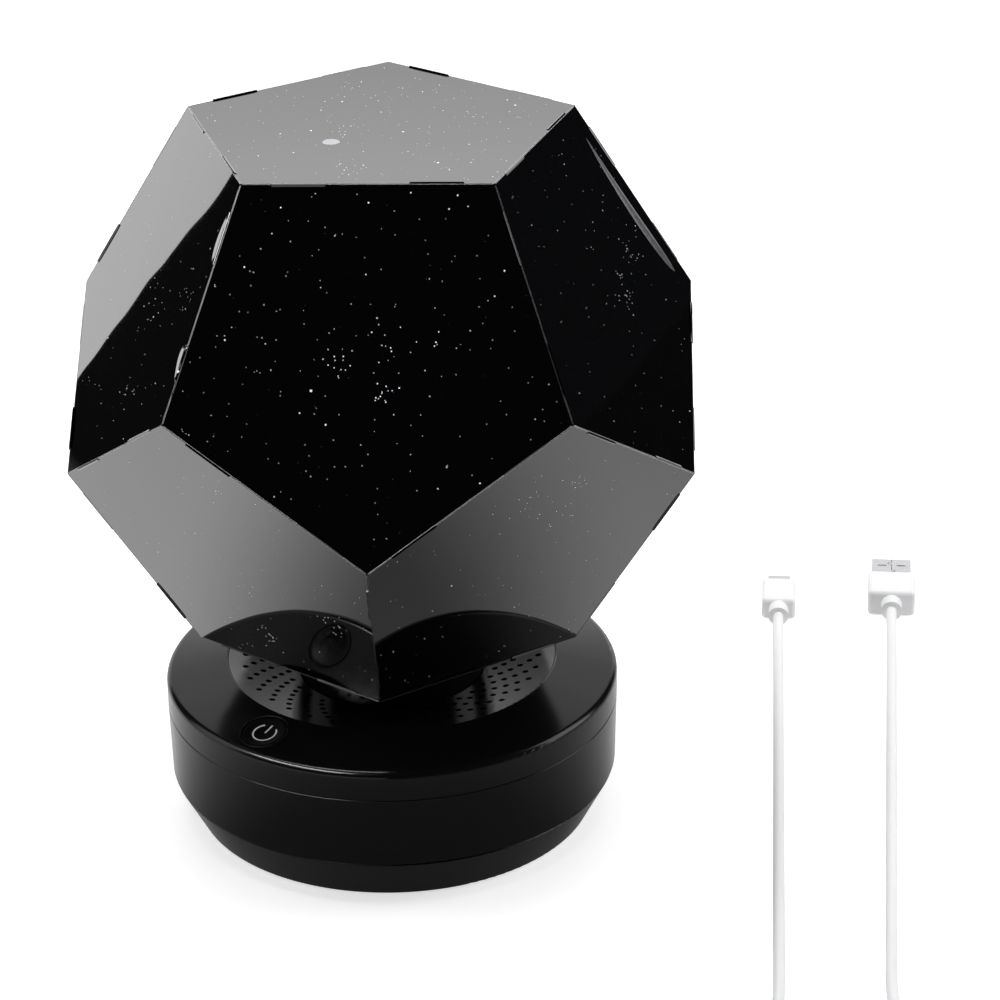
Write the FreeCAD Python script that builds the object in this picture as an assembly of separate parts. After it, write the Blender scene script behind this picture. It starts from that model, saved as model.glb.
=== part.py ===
import FreeCAD, Part
import math
import os

# Planetarium projector: a dodecahedral star ball that turns on a round base with a motor inside.
# Millimetres, +Z up. The origin is the centre of the base, on the surface that it stands on.
# The ball is built from twelve printed film panels that hook into each other with tabs and notches.

Vector = FreeCAD.Vector
Rotation = FreeCAD.Rotation
Placement = FreeCAD.Placement
X_AXIS = Vector(1, 0, 0)
Y_AXIS = Vector(0, 1, 0)
Z_AXIS = Vector(0, 0, 1)

# ---- Star ball ----
PANEL_EDGE = 62.0
PANEL_THICKNESS = 0.6
TAB_LENGTH = 13.0
TAB_OFFSET = 16.9  # from the middle of an edge to the middle of a tab or a notch
TAB_REACH = 0.4  # how far a tab stands out past the edge
TAB_CLEARANCE = 0.1
BALL_BOTTOM_Z = 57.0
LAMP_HOLE_RADIUS = 12.0

# ---- Casing ----
BASE_RADIUS = 61.5
BODY_TAPER = 0.5  # how much narrower the body is at its foot
FOOT_TAPER = 6.6  # how much narrower the foot is underneath
UNDERSIDE_Z = 0.5
FOOT_TOP_Z = 13.1
COVER_SEAM_Z = 32.6
WALL = 2.0
FLOOR_THICKNESS = 2.2
LIP_WALL = 1.2
LIP_HEIGHT = 3.0
LIP_CLEARANCE = 0.15
SEAM_ROUND = 0.3
FOOT_ROUND = 0.8
COVER_ROUND = 2.0

# ---- Sloping ring of the top cover, and the sunk grille inside it ----
RING_WIDTH = 16.8
RING_INNER_Z = 44.3
RING_SLOPE = 12.0
RIM_ROUND = 0.4
LEDGE_WIDTH = 3.2
GRILLE_SLOPE = 10.0
GRILLE_SUNK = 0.4
GRILLE_THICKNESS = 1.2
GRILLE_FIT = 0.15
GRILLE_HOLE_RADIUS = 0.85
GRILLE_HOLES_PER_RING = 36
GRILLE_RING_STEP = 2.3
GRILLE_RING_TWIST = 6.4  # how far each ring is turned against the next one outwards
GRILLE_MARGIN = 4.7  # from the grille's rim to its outermost ring of holes
GRILLE_INNER_MARGIN = 2.0

# ---- Screws: thread core, head and the posts that take them ----
SCREW_RADIUS = 1.25
SCREW_HEAD_RADIUS = 2.3
SCREW_HEAD_HEIGHT = 1.6
SCREW_FIT = 0.05
SCREW_PASS = 0.3  # clearance round a screw that passes through
SMALL_SCREW_RADIUS = 0.8
SMALL_HEAD_RADIUS = 1.5
SMALL_HEAD_HEIGHT = 1.0
SLOT_WIDTH = 0.5
SCREW_TIP_GAP = 1.0  # empty thread hole past a screw's tip
BASE_POST_RADIUS = 4.0
BASE_POST_INSET = 12.5  # from the base's rim to the screws that hold it together
BASE_POST_ANGLES = (60.0, 180.0, 300.0)
BASE_POST_SPLIT_Z = 12.0  # where the lower and upper posts meet
BASE_SCREW_SEAT = 3.5  # plastic under the head of a base screw
BASE_SCREW_BITE = 9.0

# ---- Feet ----
FOOT_PAD_RADIUS = 5.0
FOOT_PAD_SUNK = 1.0
FOOT_PAD_INSET = 17.0
FOOT_PAD_ANGLES = (20.0, 110.0, 200.0, 290.0)
FOOT_PAD_FIT = 0.1

# ---- Turntable ----
TOWER_RADIUS = 9.0
TOWER_TOP_Z = 30.0
POST_RADIUS = 4.5
POST_BORE = 3.2
POST_FIT = 0.05
POST_FOOT_Z = 7.7
BUSH_FLANGE = 1.0
BUSH_RADIUS = 6.5
RUNNING_FIT = 0.05
THRUST_GAP = 0.1
HUB_RADIUS = 10.0
HUB_BELOW_PLATE = 1.0
GEAR_WIDTH = 4.0
NECK_RADIUS = 25.0
NECK_WALL = 2.0
NECK_FLOOR = 2.0
NECK_GAP = 0.6  # between the neck and the grille
CARRIER_POST_RADIUS = 3.4
CARRIER_POST_CIRCLE = 19.0
CARRIER_SCREW_BITE = 8.0
CARRIER_SCREWS = 3
CLAMP_RADIUS = 24.5
CLAMP_THICKNESS = 2.0
COLLAR_RADIUS = 8.5
COLLAR_HEIGHT = 2.0

# ---- Gears ----
MODULE = 1.0
GEAR_TEETH = 56
PINION_TEETH = 12
PRESSURE_ANGLE = 25.0
DEDENDUM = 1.25  # depth of a tooth below the pitch circle, in modules
TOOTH_PLAY = 0.2
GEAR_PLAY = 0.1  # added to the distance between the two gears
FLANK_STEPS = 3

# ---- Gear motor ----
MOTOR_ANGLE = 160.0
MOTOR_WIDTH = 12.0
MOTOR_DEPTH = 10.0
MOTOR_LENGTH = 15.0
GEARBOX_LENGTH = 9.0
SHAFT_RADIUS = 1.5
SHAFT_IN_GEARBOX = 4.0
SHAFT_TIP = 0.5
BRACKET_THICKNESS = 1.2
BRACKET_GAP = 0.7  # between the bracket and the drive gear
BRACKET_SCREW_OFFSET = 12.5
BRACKET_POST_RADIUS = 3.0
BRACKET_SCREW_BITE = 6.0
GEARBOX_SCREW_OFFSET = 4.5
GEARBOX_SCREW_BITE = 3.0
GEARBOX_HEAD_HEIGHT = 0.5

# ---- Lamp ----
LED_SIZE = 3.5
LED_HEIGHT = 0.7
LED_DOME_RADIUS = 1.5
LAMP_BOARD_RADIUS = 9.0
BOARD_THICKNESS = 1.6
HOLDER_RADIUS = 9.5
HOLDER_PLATE = 4.0
HOLDER_SLEEVE_RADIUS = 6.5
HOLDER_SLEEVE_LENGTH = 10.0
LAMP_SCREW_CIRCLE = 6.0
BOARD_SCREW_BITE = 3.5

# ---- Main board and its socket ----
BOARD_BOTTOM_Z = 15.0
BOARD_WIDTH = 24.0
BOARD_LENGTH = 31.0
BOARD_POST_RADIUS = 2.5
BOARD_SCREW_INSET = 3.0
PORT_Z_FROM_BOARD = 1.3  # from the board's top to the middle of the socket
SOCKET_WIDTH = 7.5
SOCKET_HEIGHT = 2.6
SOCKET_LENGTH = 5.6
SOCKET_WALL = 0.25
SOCKET_OVERHANG = 4.4
SOCKET_SUNK = 0.8  # from the casing's outside to the socket's mouth
SOCKET_TONGUE_WIDTH = 3.8
SOCKET_TONGUE_THICKNESS = 0.6
PORT_CLEARANCE = 0.4
CONNECTOR_SIZE = 6.0
CONNECTOR_HEIGHT = 5.0
CONNECTOR_INSET = 1.0  # from the board's side edge
CHIP_SIZE = 5.0
CHIP_HEIGHT = 1.2
CHOKE_HEIGHT = 3.0

# ---- Battery ----
BATTERY_RADIUS = 9.2
BATTERY_LENGTH = 65.0
BATTERY_INSET = 18.4  # from the foot's rim to the cell's axis
CRADLE_WALL = 1.5
CRADLE_FLOOR = 1.0
CRADLE_LENGTH = 46.0
CRADLE_FIT = 0.2

# ---- Power button and its switch, square to the sloping ring ----
BUTTON_ANGLE = 233.5
BUTTON_OFFSET = 0.4  # from the middle of the ring towards its inner rim
BUTTON_SHARE = 0.371  # the button hole's radius for each unit of the ring's width
BUTTON_GAP = 0.25
BUTTON_DISH_DEPTH = 0.5
BUTTON_RIM = 0.7
BUTTON_SUNK = 0.1
BUTTON_FLANGE_WIDTH = 0.7
BUTTON_FLANGE_THICKNESS = 1.0
BUTTON_FLANGE_GAP = 0.15
BUTTON_SEAT_DEPTH = 0.3  # of the flat seat over the flange, cut into the ring's underside
BUTTON_TRAVEL = 0.5
STEM_RADIUS = 1.5
STEM_LENGTH = 1.5
PLUNGER_RADIUS = 1.75
PLUNGER_SHOWN = 1.0
PLUNGER_HELD = 0.8
SWITCH_SIZE = 6.0
SWITCH_HEIGHT = 3.4
SWITCH_BOARD_THICKNESS = 1.2
SWITCH_BOARD_LENGTH = 23.4
SWITCH_BOARD_WIDTH = 9.0
SWITCH_POST_RADIUS = 2.2
SWITCH_POST_OFFSET = 9.4

# ---- Inner leads ----
LAMP_LEAD_RADIUS = 0.9
LEAD_RADIUS = 0.7
LAMP_LEAD_BEND = 3.0
LEAD_BEND = 1.5
LEAD_Z = 5.0  # height at which leads cross the floor
LAMP_SLOT_WIDTH = 3.0
MOTOR_LEAD_DROP = 1.8  # from the motor's underside down to where its lead turns
SWITCH_LEAD_ANGLES = (192.0, 168.0, 150.0)  # where the switch's lead rounds the motor

# ---- USB lead ----
CABLE_RADIUS = 1.55
BEND_SHARE = 0.45  # of the shorter run beside a bend
RELIEF_LENGTH = 4.6
PLUG_ROUND = 1.2
MICRO_RELIEF_RADIUS = 3.0
MICRO_GRIP_WIDTH = 10.3
MICRO_GRIP_LENGTH = 15.4
MICRO_GRIP_HEIGHT = 6.6
MICRO_SHELL_WIDTH = 6.85
MICRO_SHELL_HEIGHT = 1.8
MICRO_SHELL_LENGTH = 6.0
MICRO_SLOT_WIDTH = 5.4
MICRO_SLOT_HEIGHT = 0.7
USB_RELIEF_RADIUS = 3.15
USB_GRIP_WIDTH = 14.3
USB_GRIP_LENGTH = 15.0
USB_GRIP_HEIGHT = 8.0
USB_SHELL_WIDTH = 12.0
USB_SHELL_HEIGHT = 4.5
USB_SHELL_LENGTH = 11.5
USB_SHELL_WALL = 0.3
USB_WINDOW_WIDTH = 2.6
USB_WINDOW_LENGTH = 2.3
USB_WINDOW_OFFSET = 2.9
USB_WINDOW_BACK = 5.2
USB_TONGUE_HEIGHT = 1.8
PLUG_TONGUE_SUNK = 1.0  # from a plug's mouth back to its tongue or contacts
COIL_TURN_RADIUS = 17.0  # to the middle of the turns
COIL_TURNS = 3.5
COIL_CENTRE = Vector(114.0, -150.0, 0)

# The lead's route over the surface, from each plug to the coil. The first point is the plug's end.
MICRO_ROUTE = (
    Vector(111.2, 100.9, 3.3),
    Vector(110.5, 88.9, 3.3),
    Vector(109.7, 69.0, 1.6),
    Vector(101.5, -106.0, 1.6),
    Vector(99.0, -126.0, 1.6),
    Vector(95.6, -146.0, 1.6),
)
USB_ROUTE = (
    Vector(145.6, 103.2, 4.0),
    Vector(144.7, 91.2, 4.0),
    Vector(143.3, 71.0, 1.6),
    Vector(129.5, -106.0, 1.6),
    Vector(131.0, -129.0, 4.5),
    Vector(132.6, -146.0, 4.7),
)

# ---- What follows from the sizes above ----
SIDE_TURN = 360 / 5  # from one side of a panel to the next
BODY_LOW_RADIUS = BASE_RADIUS - BODY_TAPER
FOOT_RADIUS = BODY_LOW_RADIUS - FOOT_TAPER
RING_INNER_RADIUS = BASE_RADIUS - RING_WIDTH
BUTTON_RADIUS = BASE_RADIUS - RING_WIDTH / 2 - BUTTON_OFFSET
BUTTON_HOLE_RADIUS = BUTTON_SHARE * RING_WIDTH
BUTTON_FLANGE_RADIUS = BUTTON_HOLE_RADIUS + BUTTON_FLANGE_WIDTH
BATTERY_X = FOOT_RADIUS - BATTERY_INSET
FOLD = math.degrees(math.atan(2))  # the angle between the normals of two neighbouring panels
APOTHEM = PANEL_EDGE / (2 * math.tan(math.radians(36)))
CORNER_RADIUS = PANEL_EDGE / (2 * math.sin(math.radians(36)))
BALL_INRADIUS = APOTHEM / math.tan(math.radians(FOLD / 2))
BALL_CENTRE_Z = BALL_BOTTOM_Z + BALL_INRADIUS
FLOOR_TOP_Z = UNDERSIDE_Z + FLOOR_THICKNESS
BASE_POST_CIRCLE = BASE_RADIUS - BASE_POST_INSET
HUB_BOTTOM_Z = TOWER_TOP_Z + BUSH_FLANGE + THRUST_GAP
PLATE_BOTTOM_Z = HUB_BOTTOM_Z + HUB_BELOW_PLATE
PLATE_TOP_Z = PLATE_BOTTOM_Z + GEAR_WIDTH
NECK_FLOOR_TOP_Z = PLATE_TOP_Z + NECK_FLOOR
CLAMP_BOTTOM_Z = BALL_BOTTOM_Z + PANEL_THICKNESS
MOTOR_DISTANCE = MODULE * (GEAR_TEETH + PINION_TEETH) / 2 + GEAR_PLAY
BRACKET_TOP_Z = PLATE_BOTTOM_Z - BRACKET_GAP
GEARBOX_TOP_Z = BRACKET_TOP_Z - BRACKET_THICKNESS
MOTOR_TOP_Z = GEARBOX_TOP_Z - GEARBOX_LENGTH
MOTOR_BOTTOM_Z = MOTOR_TOP_Z - MOTOR_LENGTH
LAMP_BOARD_TOP_Z = BALL_CENTRE_Z - LED_HEIGHT
LAMP_BOARD_BOTTOM_Z = LAMP_BOARD_TOP_Z - BOARD_THICKNESS
POST_TOP_Z = LAMP_BOARD_BOTTOM_Z - HOLDER_PLATE
BOARD_TOP_Z = BOARD_BOTTOM_Z + BOARD_THICKNESS
SOCKET_MOUTH_Y = BODY_LOW_RADIUS - SOCKET_SUNK
BOARD_OUTER_Y = SOCKET_MOUTH_Y - SOCKET_OVERHANG
BOARD_INNER_Y = BOARD_OUTER_Y - BOARD_LENGTH
PORT_Z = BOARD_TOP_Z + PORT_Z_FROM_BOARD
BATTERY_Z = FLOOR_TOP_Z + CRADLE_FLOOR + BATTERY_RADIUS

# Heights under the power button, in its own frame, with the ring's surface at 0
COVER_DEPTH = WALL * math.cos(math.radians(RING_SLOPE))
BUTTON_SEAT = BUTTON_SEAT_DEPTH - COVER_DEPTH
FLANGE_TOP = BUTTON_SEAT - BUTTON_FLANGE_GAP
FLANGE_BOTTOM = FLANGE_TOP - BUTTON_FLANGE_THICKNESS
PLUNGER_TOP = FLANGE_BOTTOM - STEM_LENGTH
SWITCH_TOP = PLUNGER_TOP - PLUNGER_SHOWN
SWITCH_BOTTOM = SWITCH_TOP - SWITCH_HEIGHT
SWITCH_BOARD_BOTTOM = SWITCH_BOTTOM - SWITCH_BOARD_THICKNESS


def ring_top_z(radius):
    """Height of the top cover's sloping ring at a radius."""
    return RING_INNER_Z - (radius - RING_INNER_RADIUS) * math.tan(math.radians(RING_SLOPE))


def grille_top_z(radius):
    """Height of the grille's upper face at a radius: it falls towards the neck."""
    fall = (RING_INNER_RADIUS - radius) * math.tan(math.radians(GRILLE_SLOPE))
    return RING_INNER_Z - GRILLE_SUNK - fall


# ---- Small shape helpers ----
def save(name, *solids):
    """Write one node, as a single solid or as a group of separate ones."""
    shape = solids[0] if len(solids) == 1 else Part.makeCompound(list(solids))
    if not shape.isValid():
        print("NOT VALID", name)
    shape.exportStep(f"parts/{name}.step")


def polar(radius, degrees, z=0.0):
    angle = math.radians(degrees)
    return Vector(radius * math.cos(angle), radius * math.sin(angle), z)


def cylinder(radius, low, high, at=Vector(0, 0, 0)):
    return Part.makeCylinder(radius, high - low, Vector(at.x, at.y, low))


def ring(outer, inner, low, high, at=Vector(0, 0, 0)):
    return cylinder(outer, low, high, at).cut(cylinder(inner, low, high, at))


def block(width, length, height, middle):
    """A box by its sizes along X, Y and Z and its middle."""
    corner = middle - Vector(width / 2, length / 2, height / 2)
    return Part.makeBox(width, length, height, corner)


def fused(first, *others):
    return first.fuse(list(others)).removeSplitter()


def placed(shape, placement):
    moved = shape.copy()
    moved.Placement = placement.multiply(moved.Placement)
    return moved


def turned(shape, degrees, axis=Z_AXIS):
    return placed(shape, Placement(Vector(0, 0, 0), Rotation(axis, degrees)))


def edges_of_outline(corners):
    """Lines through the corners, with an arc at each corner that has a third value, its radius."""
    points = [Vector(c[0], 0, c[1]) for c in corners]
    rounds = [c[2] if len(c) > 2 else 0.0 for c in corners]
    edges = []
    ends = []
    for i, point in enumerate(points):
        back = (points[i - 1] - point).normalize()
        ahead = (points[(i + 1) % len(points)] - point).normalize()
        half = back.getAngle(ahead) / 2
        if rounds[i] == 0.0:
            ends.append((point, point))
            continue
        reach = rounds[i] / math.tan(half)
        middle_way = (back + ahead).normalize()
        middle = point + middle_way * (rounds[i] / math.sin(half) - rounds[i])
        start = point + back * reach
        finish = point + ahead * reach
        ends.append((start, finish))
        edges.append(Part.Arc(start, middle, finish).toShape())
    for i, end in enumerate(ends):
        edges.append(Part.LineSegment(end[1], ends[(i + 1) % len(ends)][0]).toShape())
    return edges


def revolved(corners):
    """A solid of revolution about Z from (radius, height) corners."""
    wire = Part.Wire(Part.__sortEdges__(edges_of_outline(corners)))
    return Part.Face(wire).revolve(Vector(0, 0, 0), Z_AXIS, 360)


def screw(radius, head_radius, head_height, length):
    """A slotted pan screw: its shank runs up +Z from the head's seat at z = 0."""
    head = cylinder(head_radius, -head_height, 0)
    slot_depth = head_height / 2
    slot = block(head_radius * 3, SLOT_WIDTH, slot_depth, Vector(0, 0, slot_depth / 2 - head_height))
    return fused(head.cut(slot), cylinder(radius, 0, length))


def flipped(shape, at):
    """A shape turned over, to point down -Z from a place."""
    return placed(shape, Placement(at, Rotation(X_AXIS, 180)))


def moved_to(shape, at):
    return placed(shape, Placement(at, Rotation()))


def small_screw(length):
    return screw(SMALL_SCREW_RADIUS, SMALL_HEAD_RADIUS, SMALL_HEAD_HEIGHT, length)


# ---- Tubes along rounded paths ----
def rounded_path(points, radii):
    """Straight runs joined by tangent arcs, one radius for each inner point."""
    edges = []
    start = points[0]
    for i, radius in enumerate(radii, 1):
        corner = points[i]
        back = (points[i - 1] - corner).normalize()
        ahead = (points[i + 1] - corner).normalize()
        half = back.getAngle(ahead) / 2
        reach = radius / math.tan(half)
        middle_way = (back + ahead).normalize()
        arc_start = corner + back * reach
        arc_middle = corner + middle_way * (radius / math.sin(half) - radius)
        arc_end = corner + ahead * reach
        edges.append(Part.LineSegment(start, arc_start).toShape())
        edges.append(Part.Arc(arc_start, arc_middle, arc_end).toShape())
        start = arc_end
    edges.append(Part.LineSegment(start, points[-1]).toShape())
    return Part.Wire(edges)


def tube(path, points, radius):
    profile = Part.Wire(Part.Circle(points[0], points[1] - points[0], radius).toShape())
    return path.makePipeShell([profile], True, False)


def held_lead(points, radius, bend):
    """An inner lead with bends of one radius."""
    return tube(rounded_path(points, [bend] * (len(points) - 2)), points, radius)


def widest_bends(points):
    """For each inner point, the largest arc that its two runs leave room for."""
    radii = []
    for before, corner, after in zip(points, points[1:], points[2:]):
        turn = (corner - before).getAngle(after - corner)
        shorter = min((corner - before).Length, (after - corner).Length)
        radii.append(BEND_SHARE * shorter / math.tan(turn / 2))
    return radii


def free_cord(name, points, radius):
    """The stretch of a loose cord from one point to the last, with its bends printed."""
    radii = widest_bends(points)
    path = rounded_path(points, radii)
    solid = tube(path, points, radius)
    section = math.pi * radius**2
    print(name, "length", round(path.Length, 1), "bends", [round(r) for r in radii])
    print(name, "volume over section times length", round(solid.Volume / (section * path.Length), 4))
    return solid


# ---- Star ball ----
def pentagon(corner_radius, z):
    return [polar(corner_radius, SIDE_TURN * k - 0.75 * SIDE_TURN, z) for k in range(5)]


def panel_sheet():
    """A five-sided sheet whose edges are mitred, with its outer face at z = 0."""
    outer = pentagon(CORNER_RADIUS, 0)
    inner_share = (BALL_INRADIUS - PANEL_THICKNESS) / BALL_INRADIUS
    inner = pentagon(CORNER_RADIUS * inner_share, -PANEL_THICKNESS)
    loops = [outer, inner]
    for k in range(5):
        following = (k + 1) % 5
        loops.append([outer[k], outer[following], inner[following], inner[k]])
    faces = [Part.Face(Part.makePolygon(loop + [loop[0]])) for loop in loops]
    return Part.Solid(Part.Shell(faces))


def edge_tab():
    """The tab on the edge at +X: the sheet runs on past the neighbouring panel."""
    root = 3 * PANEL_THICKNESS
    middle = Vector(APOTHEM + (TAB_REACH - root) / 2, -TAB_OFFSET, -PANEL_THICKNESS / 2)
    return block(TAB_REACH + root, TAB_LENGTH, PANEL_THICKNESS, middle)


def edge_notch():
    """What the edge at +X leaves free for the neighbouring panel's tab."""
    depth = PANEL_THICKNESS + TAB_CLEARANCE
    height = 2 * (depth + TAB_REACH)
    box = block(3 * height, TAB_LENGTH + 2 * TAB_CLEARANCE, height, Vector(0, TAB_OFFSET, height / 2 - depth))
    return placed(box, Placement(Vector(APOTHEM, 0, 0), Rotation(Y_AXIS, FOLD)))


def star_panel():
    sides = [-90 + SIDE_TURN * k for k in range(5)]
    panel = fused(panel_sheet(), *[turned(edge_tab(), side) for side in sides])
    return panel.cut([turned(edge_notch(), side) for side in sides])


def on_ball(shape, half_turn, tilt, turn):
    """A panel's place on the ball: spun in its plane, tilted off the top and turned about Z."""
    rotation = Rotation(Z_AXIS, turn).multiply(Rotation(X_AXIS, tilt)).multiply(Rotation(Z_AXIS, half_turn))
    outwards = rotation.multVec(Z_AXIS) * BALL_INRADIUS
    return placed(shape, Placement(Vector(0, 0, BALL_CENTRE_Z) + outwards, rotation))


def carrier_places(z=0.0):
    return [polar(CARRIER_POST_CIRCLE, 90 + 360 / CARRIER_SCREWS * k, z) for k in range(CARRIER_SCREWS)]


def make_ball():
    panel = star_panel()
    save("star_panel_top", on_ball(panel, 0, 0, 0))
    for k in range(5):
        save(f"star_panel_upper_{k + 1}", on_ball(panel, 180, FOLD, SIDE_TURN * k))
        save(f"star_panel_lower_{k + 1}", on_ball(panel, 0, 180 - FOLD, SIDE_TURN * (k + 0.5)))
    holes = [cylinder(LAMP_HOLE_RADIUS, BALL_BOTTOM_Z, CLAMP_BOTTOM_Z)]
    for at in carrier_places():
        holes.append(cylinder(SCREW_RADIUS + SCREW_PASS, BALL_BOTTOM_Z, CLAMP_BOTTOM_Z, at))
    save("star_panel_bottom", on_ball(panel, 0, 180, 0).cut(holes))


# ---- Turntable ----
def gear(teeth, low, high, turn):
    """A spur gear with involute flanks. One tooth points along the turn angle."""
    pitch = MODULE * teeth / 2
    base = pitch * math.cos(math.radians(PRESSURE_ANGLE))
    tip = pitch + MODULE
    root = pitch - DEDENDUM * MODULE
    lowest = max(base, root)
    pressure = math.radians(PRESSURE_ANGLE)
    half = math.pi / (2 * teeth) - TOOTH_PLAY / (2 * pitch) + math.tan(pressure) - pressure
    flank = []
    for step in range(FLANK_STEPS + 1):
        radius = lowest + (tip - lowest) * step / FLANK_STEPS
        roll = math.acos(base / radius)
        flank.append((radius, math.degrees(half - math.tan(roll) + roll)))
    if root < base:
        flank.insert(0, (root, flank[0][1]))
    points = []
    for tooth in range(teeth):
        middle = turn + 360 * tooth / teeth
        points += [polar(radius, middle - away, low) for radius, away in flank]
        points += [polar(radius, middle + away, low) for radius, away in reversed(flank)]
    face = Part.Face(Part.makePolygon(points + [points[0]]))
    return face.extrude(Vector(0, 0, high - low))


def make_turntable():
    gap_to_pinion = MOTOR_ANGLE + 180 / GEAR_TEETH
    gear_top = NECK_FLOOR_TOP_Z
    drive_gear = fused(
        gear(GEAR_TEETH, PLATE_BOTTOM_Z, PLATE_TOP_Z, gap_to_pinion),
        cylinder(HUB_RADIUS, HUB_BOTTOM_Z, gear_top),
    )
    bores = [cylinder(BUSH_RADIUS + RUNNING_FIT, HUB_BOTTOM_Z, gear_top)]
    for at in carrier_places():
        bores.append(cylinder(SCREW_RADIUS + SCREW_PASS, PLATE_BOTTOM_Z, PLATE_TOP_Z, at))
    save("drive_gear", drive_gear.cut(bores))

    neck = ring(NECK_RADIUS, NECK_RADIUS - NECK_WALL, PLATE_TOP_Z, BALL_BOTTOM_Z)
    web = cylinder(NECK_RADIUS, PLATE_TOP_Z, NECK_FLOOR_TOP_Z)
    posts = [cylinder(CARRIER_POST_RADIUS, PLATE_TOP_Z, BALL_BOTTOM_Z, at) for at in carrier_places()]
    holes = [cylinder(HUB_RADIUS + RUNNING_FIT, PLATE_TOP_Z, NECK_FLOOR_TOP_Z)]
    lowest_thread = BALL_BOTTOM_Z - CARRIER_SCREW_BITE
    for at in carrier_places():
        holes.append(cylinder(SCREW_RADIUS + SCREW_FIT, PLATE_TOP_Z, PLATE_TOP_Z + CARRIER_SCREW_BITE, at))
        holes.append(cylinder(SCREW_RADIUS + SCREW_FIT, lowest_thread, BALL_BOTTOM_Z, at))
    save("ball_carrier", fused(neck, web, *posts).cut(holes))

    clamp_top = CLAMP_BOTTOM_Z + CLAMP_THICKNESS
    clamp_holes = []
    for at in carrier_places():
        clamp_holes.append(cylinder(SCREW_RADIUS + SCREW_PASS, CLAMP_BOTTOM_Z, clamp_top, at))
    save("clamp_ring", ring(CLAMP_RADIUS, LAMP_HOLE_RADIUS, CLAMP_BOTTOM_Z, clamp_top).cut(clamp_holes))

    upper_length = CLAMP_THICKNESS + PANEL_THICKNESS + CARRIER_SCREW_BITE - SCREW_TIP_GAP
    lower_length = GEAR_WIDTH + CARRIER_SCREW_BITE - SCREW_TIP_GAP
    upper = screw(SCREW_RADIUS, SCREW_HEAD_RADIUS, SCREW_HEAD_HEIGHT, upper_length)
    lower = screw(SCREW_RADIUS, SCREW_HEAD_RADIUS, SCREW_HEAD_HEIGHT, lower_length)
    screws = [flipped(upper, at) for at in carrier_places(clamp_top)]
    screws += [moved_to(lower, at) for at in carrier_places(PLATE_BOTTOM_Z)]
    save("carrier_screws", *screws)

    bush = ring(TOWER_RADIUS, POST_RADIUS + POST_FIT, TOWER_TOP_Z, TOWER_TOP_Z + BUSH_FLANGE)
    sleeve = ring(BUSH_RADIUS, POST_RADIUS + POST_FIT, TOWER_TOP_Z, gear_top)
    save("turntable_bush", fused(bush, sleeve))
    collar_z = gear_top + THRUST_GAP
    save("retaining_collar", ring(COLLAR_RADIUS, POST_RADIUS + POST_FIT, collar_z, collar_z + COLLAR_HEIGHT))


# ---- Motor ----
def at_motor(shape):
    """From the motor's own frame, with X away from the base's axis, to its place."""
    return turned(moved_to(shape, Vector(MOTOR_DISTANCE, 0, 0)), MOTOR_ANGLE)


def bracket_places(z=0.0):
    return [Vector(0, side * BRACKET_SCREW_OFFSET, z) for side in (-1, 1)]


def gearbox_screw_places(z=0.0):
    return [Vector(0, side * GEARBOX_SCREW_OFFSET, z) for side in (-1, 1)]


def make_motor():
    motor_middle = Vector(0, 0, (MOTOR_BOTTOM_Z + MOTOR_TOP_Z) / 2)
    can = cylinder(MOTOR_WIDTH / 2, MOTOR_BOTTOM_Z, MOTOR_TOP_Z)
    can = can.common(block(MOTOR_DEPTH, MOTOR_WIDTH, MOTOR_LENGTH, motor_middle))
    save("drive_motor", at_motor(can))

    shaft_foot = GEARBOX_TOP_Z - SHAFT_IN_GEARBOX
    gearbox_middle = Vector(0, 0, (MOTOR_TOP_Z + GEARBOX_TOP_Z) / 2)
    gearbox = block(MOTOR_DEPTH, MOTOR_WIDTH, GEARBOX_LENGTH, gearbox_middle)
    bores = [cylinder(SHAFT_RADIUS + RUNNING_FIT, shaft_foot - THRUST_GAP, GEARBOX_TOP_Z)]
    for at in gearbox_screw_places():
        thread_foot = GEARBOX_TOP_Z - GEARBOX_SCREW_BITE
        bores.append(cylinder(SMALL_SCREW_RADIUS + SCREW_FIT, thread_foot, GEARBOX_TOP_Z, at))
    save("gearbox", at_motor(gearbox.cut(bores)))

    shaft_top = PLATE_TOP_Z + SHAFT_TIP
    save("motor_shaft", at_motor(cylinder(SHAFT_RADIUS, shaft_foot, shaft_top)))
    pinion = gear(PINION_TEETH, PLATE_BOTTOM_Z, PLATE_TOP_Z, 180)
    bore = cylinder(SHAFT_RADIUS + SCREW_FIT, PLATE_BOTTOM_Z, PLATE_TOP_Z)
    save("pinion", at_motor(pinion.cut(bore)))

    plate_length = 2 * (BRACKET_SCREW_OFFSET + BRACKET_POST_RADIUS)
    plate_middle = Vector(0, 0, (GEARBOX_TOP_Z + BRACKET_TOP_Z) / 2)
    plate = block(MOTOR_DEPTH, plate_length, BRACKET_THICKNESS, plate_middle)
    holes = [cylinder(2 * SHAFT_RADIUS, GEARBOX_TOP_Z, BRACKET_TOP_Z)]
    for at in bracket_places() + gearbox_screw_places():
        holes.append(cylinder(SMALL_SCREW_RADIUS + SCREW_PASS, GEARBOX_TOP_Z, BRACKET_TOP_Z, at))
    save("motor_bracket", at_motor(plate.cut(holes)))

    long_screw = small_screw(BRACKET_THICKNESS + BRACKET_SCREW_BITE - SCREW_TIP_GAP)
    gearbox_length = BRACKET_THICKNESS + GEARBOX_SCREW_BITE - SCREW_TIP_GAP
    flat_screw = screw(SMALL_SCREW_RADIUS, SMALL_HEAD_RADIUS, GEARBOX_HEAD_HEIGHT, gearbox_length)
    screws = [at_motor(flipped(long_screw, at)) for at in bracket_places(BRACKET_TOP_Z)]
    screws += [at_motor(flipped(flat_screw, at)) for at in gearbox_screw_places(BRACKET_TOP_Z)]
    save("motor_screws", *screws)


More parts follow.
